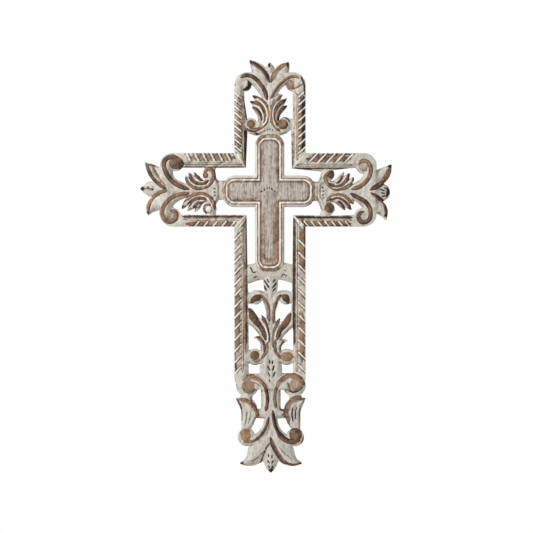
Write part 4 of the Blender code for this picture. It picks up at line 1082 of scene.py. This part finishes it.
@dataclass(frozen=True)
class WhitewashedWood:
    """Whitewash on carved hardwood, rubbed back: matt, and broken up along the grain.

    The wash is a warm grey-white that lies thick in cuts and hollows. Bare wood shows brown on the
    ridges with a ragged edge, turning tan on the crests as a painted highlight, and an old stain is
    left near black in the deepest nicks; the same near black also serves as painted shade along the
    outlines and on the shaded sides of the marks.

    `patterns` are noises: (name, millimetres of one cycle along each axis, detail). `blends` add
    them up: (name, level, shares). `steps` are the values between which a share goes from 0 to 1,
    and `films` are shares of a share: (name, of what, how much).
    """

    wash: str = "#cbc6bc"
    wash_thin: str = "#afa79b"
    lime: str = "#dedad0"
    wood_tan_highlight: str = "#b08a62"
    wood_light: str = "#92694a"
    wood_deep: str = "#583a29"
    # Near black for dark stain, and also for the painted shade along the outlines and on the shaded sides of
    # the marks.
    stain_and_shade_colour: str = "#241a15"
    panel_grey: str = "#bfb7ae"
    panel_brown: str = "#826b5b"
    roughness: float = 0.82
    grain_strength: float = 0.35
    grain_depth: float = 0.0003
    patterns: tuple[tuple[str, Size, float], ...] = (
        ("grain", (1.4, 1.0, 24.0), 5.0), ("mottle", (2.0, 2.0, 4.5), 6.0),
        ("patch", (8.3, 8.3, 8.3), 2.0), ("speck", (0.77, 0.77, 1.25), 3.0),
        ("blotch", (2.6, 2.6, 3.8), 3.0), ("streak", (1.6, 1.6, 62.0), 3.0),
    )
    blends: tuple[tuple[str, float, tuple[tuple[str, float], ...]], ...] = (
        ("ragged", -0.75, (("speck", 0.6), ("patch", 0.4), ("blotch", 0.5))),
        ("deep", -0.4, (("patch", 0.8), ("grain", 1.0))),
        ("worn", 0.0, (("mottle", 0.35), ("grain", 0.35), ("streak", 0.30))),
    )
    steps: tuple[tuple[str, float, float], ...] = (
        ("bare", 0.22, 0.66), ("dark", 0.30, 0.95), ("lime", 0.2, 0.9), ("mottle", 0.40, 0.72),
        ("deep", 0.35, 0.68), ("blotch", 0.42, 0.66), ("worn", 0.44, 0.62),
    )
    # The tan on bare wood, where lime lies on it, is a painted highlight on the crests.
    films: tuple[tuple[str, str, float], ...] = (("tan_highlight", "lime", 0.85), ("film", "blotch", 0.34))

    def build(self) -> bpy.types.Material:
        """Makes the material, coat over coat.

        Returns:
            The material.
        """
        material = bpy.data.materials.new("whitewashed_carved_wood")
        material.use_nodes = True
        tree = material.node_tree
        tree.nodes.clear()
        share = self.shares(tree)
        grounds = (("wash", self.wash), ("wood", self.wood_light), ("panel", self.panel_grey))
        colours = {name: linear(code) for name, code in grounds}
        for under, over, amount in (
            ("wash", self.wash_thin, "mottle"), ("wash", self.lime, "lime"), ("wood", self.wood_deep, "deep"),
            ("wood", self.wood_tan_highlight, "tan_highlight"), ("wood", self.wash_thin, "film"),
            ("panel", self.panel_brown, "worn"), ("wash", "panel", "panel"), ("wash", "wood", "bare"),
            ("wash", self.stain_and_shade_colour, "dark"),
        ):
            coat = colours[over] if over in colours else linear(over)
            settings = {"data_type": "RGBA", 0: share[amount], MIX_UNDER: colours[under], MIX_OVER: coat}
            colours[under] = add_node(tree, "ShaderNodeMix", settings, MIX_COLOUR)
        bump = {"Strength": self.grain_strength, "Distance": self.grain_depth, "Height": share["grain"]}
        shader = add_node(tree, "ShaderNodeBsdfPrincipled", {
            "Roughness": self.roughness, "Base Color": colours["wash"],
            "Normal": add_node(tree, "ShaderNodeBump", bump),
        })
        add_node(tree, "ShaderNodeOutputMaterial", {"Surface": shader})
        return material

    def shares(self, tree: bpy.types.NodeTree) -> dict[str, bpy.types.NodeSocket]:
        """Works out how much of each coat shows, from the board's wear with its painted light, and the
        patterns.

        Args:
            tree: the node tree.

        Returns:
            A socket for each coat, and the patterns.
        """
        place = add_node(tree, "ShaderNodeTexCoord", {}, "Object")
        made = {}
        for name, size, detail in self.patterns:
            scale = tuple(1 / (length * MM) for length in size)
            scaled = add_node(tree, "ShaderNodeMapping", {"Vector": place, "Scale": scale})
            settings = {"Vector": scaled, "Scale": 1.0, "Detail": detail}
            made[name] = add_node(tree, "ShaderNodeTexNoise", settings)
        for name, level, parts in self.blends:
            made[name] = level
            for pattern, amount in parts:
                settings = {"operation": "MULTIPLY_ADD", 0: made[pattern], 1: amount, 2: made[name]}
                made[name] = add_node(tree, "ShaderNodeMath", settings)
        wear_and_painted_light = add_node(tree, "ShaderNodeAttribute", {"attribute_name": "wear_and_painted_light"}, "Color")
        bare, dark, made["panel"] = add_node(tree, "ShaderNodeSeparateColor", {0: wear_and_painted_light}).node.outputs
        for name, channel in (("bare", bare), ("dark", dark), ("lime", wear_and_painted_light.node.outputs["Alpha"])):
            settings = {"operation": "ADD", 0: channel, 1: made["ragged"]}
            made[name] = add_node(tree, "ShaderNodeMath", settings)
        for name, low, high in self.steps:
            settings = {
                "interpolation_type": "SMOOTHSTEP", "Value": made[name], "From Min": low, "From Max": high
            }
            made[name] = add_node(tree, "ShaderNodeMapRange", settings)
        for name, whole, amount in self.films:
            settings = {"operation": "MULTIPLY", 0: made[whole], 1: amount}
            made[name] = add_node(tree, "ShaderNodeMath", settings)
        return made


@dataclass(frozen=True)
class Lamp:
    """A soft square light: its place and the length of its side in metres, and its power in watts."""

    name: str
    place: Size
    side: float
    power: float


@dataclass
class Studio:
    """A plain white studio: a pale floor below, soft light, and the camera straight in front.

    The surround has its own strength where the camera sees it, so that it comes out pure white.
    """

    front: float
    view_width: float = SHEET * STEP
    middle: Place = ((SHEET / 2 - CROSSING[0]) * STEP, (CROSSING[1] - SHEET / 2) * STEP)
    lens: float = 180.0
    floor_drop: float = 0.62
    floor_radius: float = 1.3
    floor_thickness: float = 0.01
    floor_sides: int = 64
    floor_colour: str = "#f2f1ef"
    floor_roughness: float = 0.9
    surround: str = "#ffffff"
    surround_strength: float = 0.40
    seen_strength: float = 1.0
    lamps: tuple[Lamp, ...] = (
        Lamp("key_light", (-1.3, -0.85, 0.75), 0.4, 27.0), Lamp("fill_light", (0.9, -1.5, 0.0), 1.2, 4.0)
    )

    def build(self) -> None:
        """Makes the floor, the lights, the world and the camera."""
        scene = bpy.context.scene
        scene.view_settings.view_transform = "Standard"
        self.add_floor()
        for lamp in self.lamps:
            self.add_light(lamp)
        self.add_world(scene)
        camera = bpy.data.objects.new("camera", bpy.data.cameras.new("camera"))
        camera.data.lens = self.lens
        distance = self.view_width * self.lens / camera.data.sensor_width
        camera.location = (self.middle[0], self.front - distance, self.middle[1])
        camera.rotation_euler = (math.pi / 2, 0, 0)
        scene.collection.objects.link(camera)
        scene.camera = camera

    def add_floor(self) -> None:
        """Lays a pale round floor below the cross."""
        made = bmesh.new()
        bmesh.ops.create_cone(
            made, cap_ends=True, segments=self.floor_sides, radius1=self.floor_radius,
            radius2=self.floor_radius, depth=self.floor_thickness,
        )
        bmesh.ops.translate(made, verts=made.verts, vec=(0, 0, -self.floor_drop))
        mesh = bpy.data.meshes.new("floor")
        made.to_mesh(mesh)
        made.free()
        floor = bpy.data.objects.new("floor", mesh)
        material = bpy.data.materials.new("matt_white_paint")
        material.use_nodes = True
        shader = material.node_tree.nodes["Principled BSDF"]
        shader.inputs["Base Color"].default_value = linear(self.floor_colour)
        shader.inputs["Roughness"].default_value = self.floor_roughness
        mesh.materials.append(material)
        bpy.context.scene.collection.objects.link(floor)

    def add_light(self, lamp: Lamp) -> None:
        """Adds a light aimed at the cross.

        Args:
            lamp: the light.
        """
        light = bpy.data.lights.new(lamp.name, "AREA")
        light.size = lamp.side
        light.energy = lamp.power
        made = bpy.data.objects.new(lamp.name, light)
        made.location = lamp.place
        aim = Vector((self.middle[0], 0, self.middle[1])) - Vector(lamp.place)
        made.rotation_euler = aim.to_track_quat("-Z", "Y").to_euler()
        bpy.context.scene.collection.objects.link(made)

    def add_world(self, scene: bpy.types.Scene) -> None:
        """Sets an even white surround.

        Args:
            scene: the scene.
        """
        world = bpy.data.worlds.new("white_surround")
        world.use_nodes = True
        tree = world.node_tree
        tree.nodes.clear()
        seen = add_node(tree, "ShaderNodeLightPath", {}, "Is Camera Ray")
        settings = {"Value": seen, "To Min": self.surround_strength, "To Max": self.seen_strength}
        strength = add_node(tree, "ShaderNodeMapRange", settings)
        settings = {"Color": linear(self.surround), "Strength": strength}
        surround = add_node(tree, "ShaderNodeBackground", settings)
        add_node(tree, "ShaderNodeOutputWorld", {"Surface": surround})
        scene.world = world


def main() -> None:
    """Builds the cross and its studio."""
    maker = CarvedBoard(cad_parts["carved_cross"])
    carving = Carving()
    carving.lay_surface(maker.front_triangles())
    cross = InnerCross()
    carving.wash_inner_cross(cross)
    for ornament in (Frame().ornament(), LOWER_ARM, TOP_END, LEFT_END, RIGHT_END, FOOT, cross.ornament()):
        for stroke in ornament.strokes:
            carving.apply(stroke)
        for spot in ornament.spots:
            carving.apply_spot(spot)
        log.info("%s: %d strokes, %d spots", ornament.name, len(ornament.strokes), len(ornament.spots))
    board = maker.build(carving)
    board.data.materials.append(WhitewashedWood().build())
    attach(board, "root")
    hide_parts("carved_cross")
    log.info("carved board: %d faces", len(board.data.polygons))
    Studio(maker.front).build()


if __name__ == "__main__":
    main()
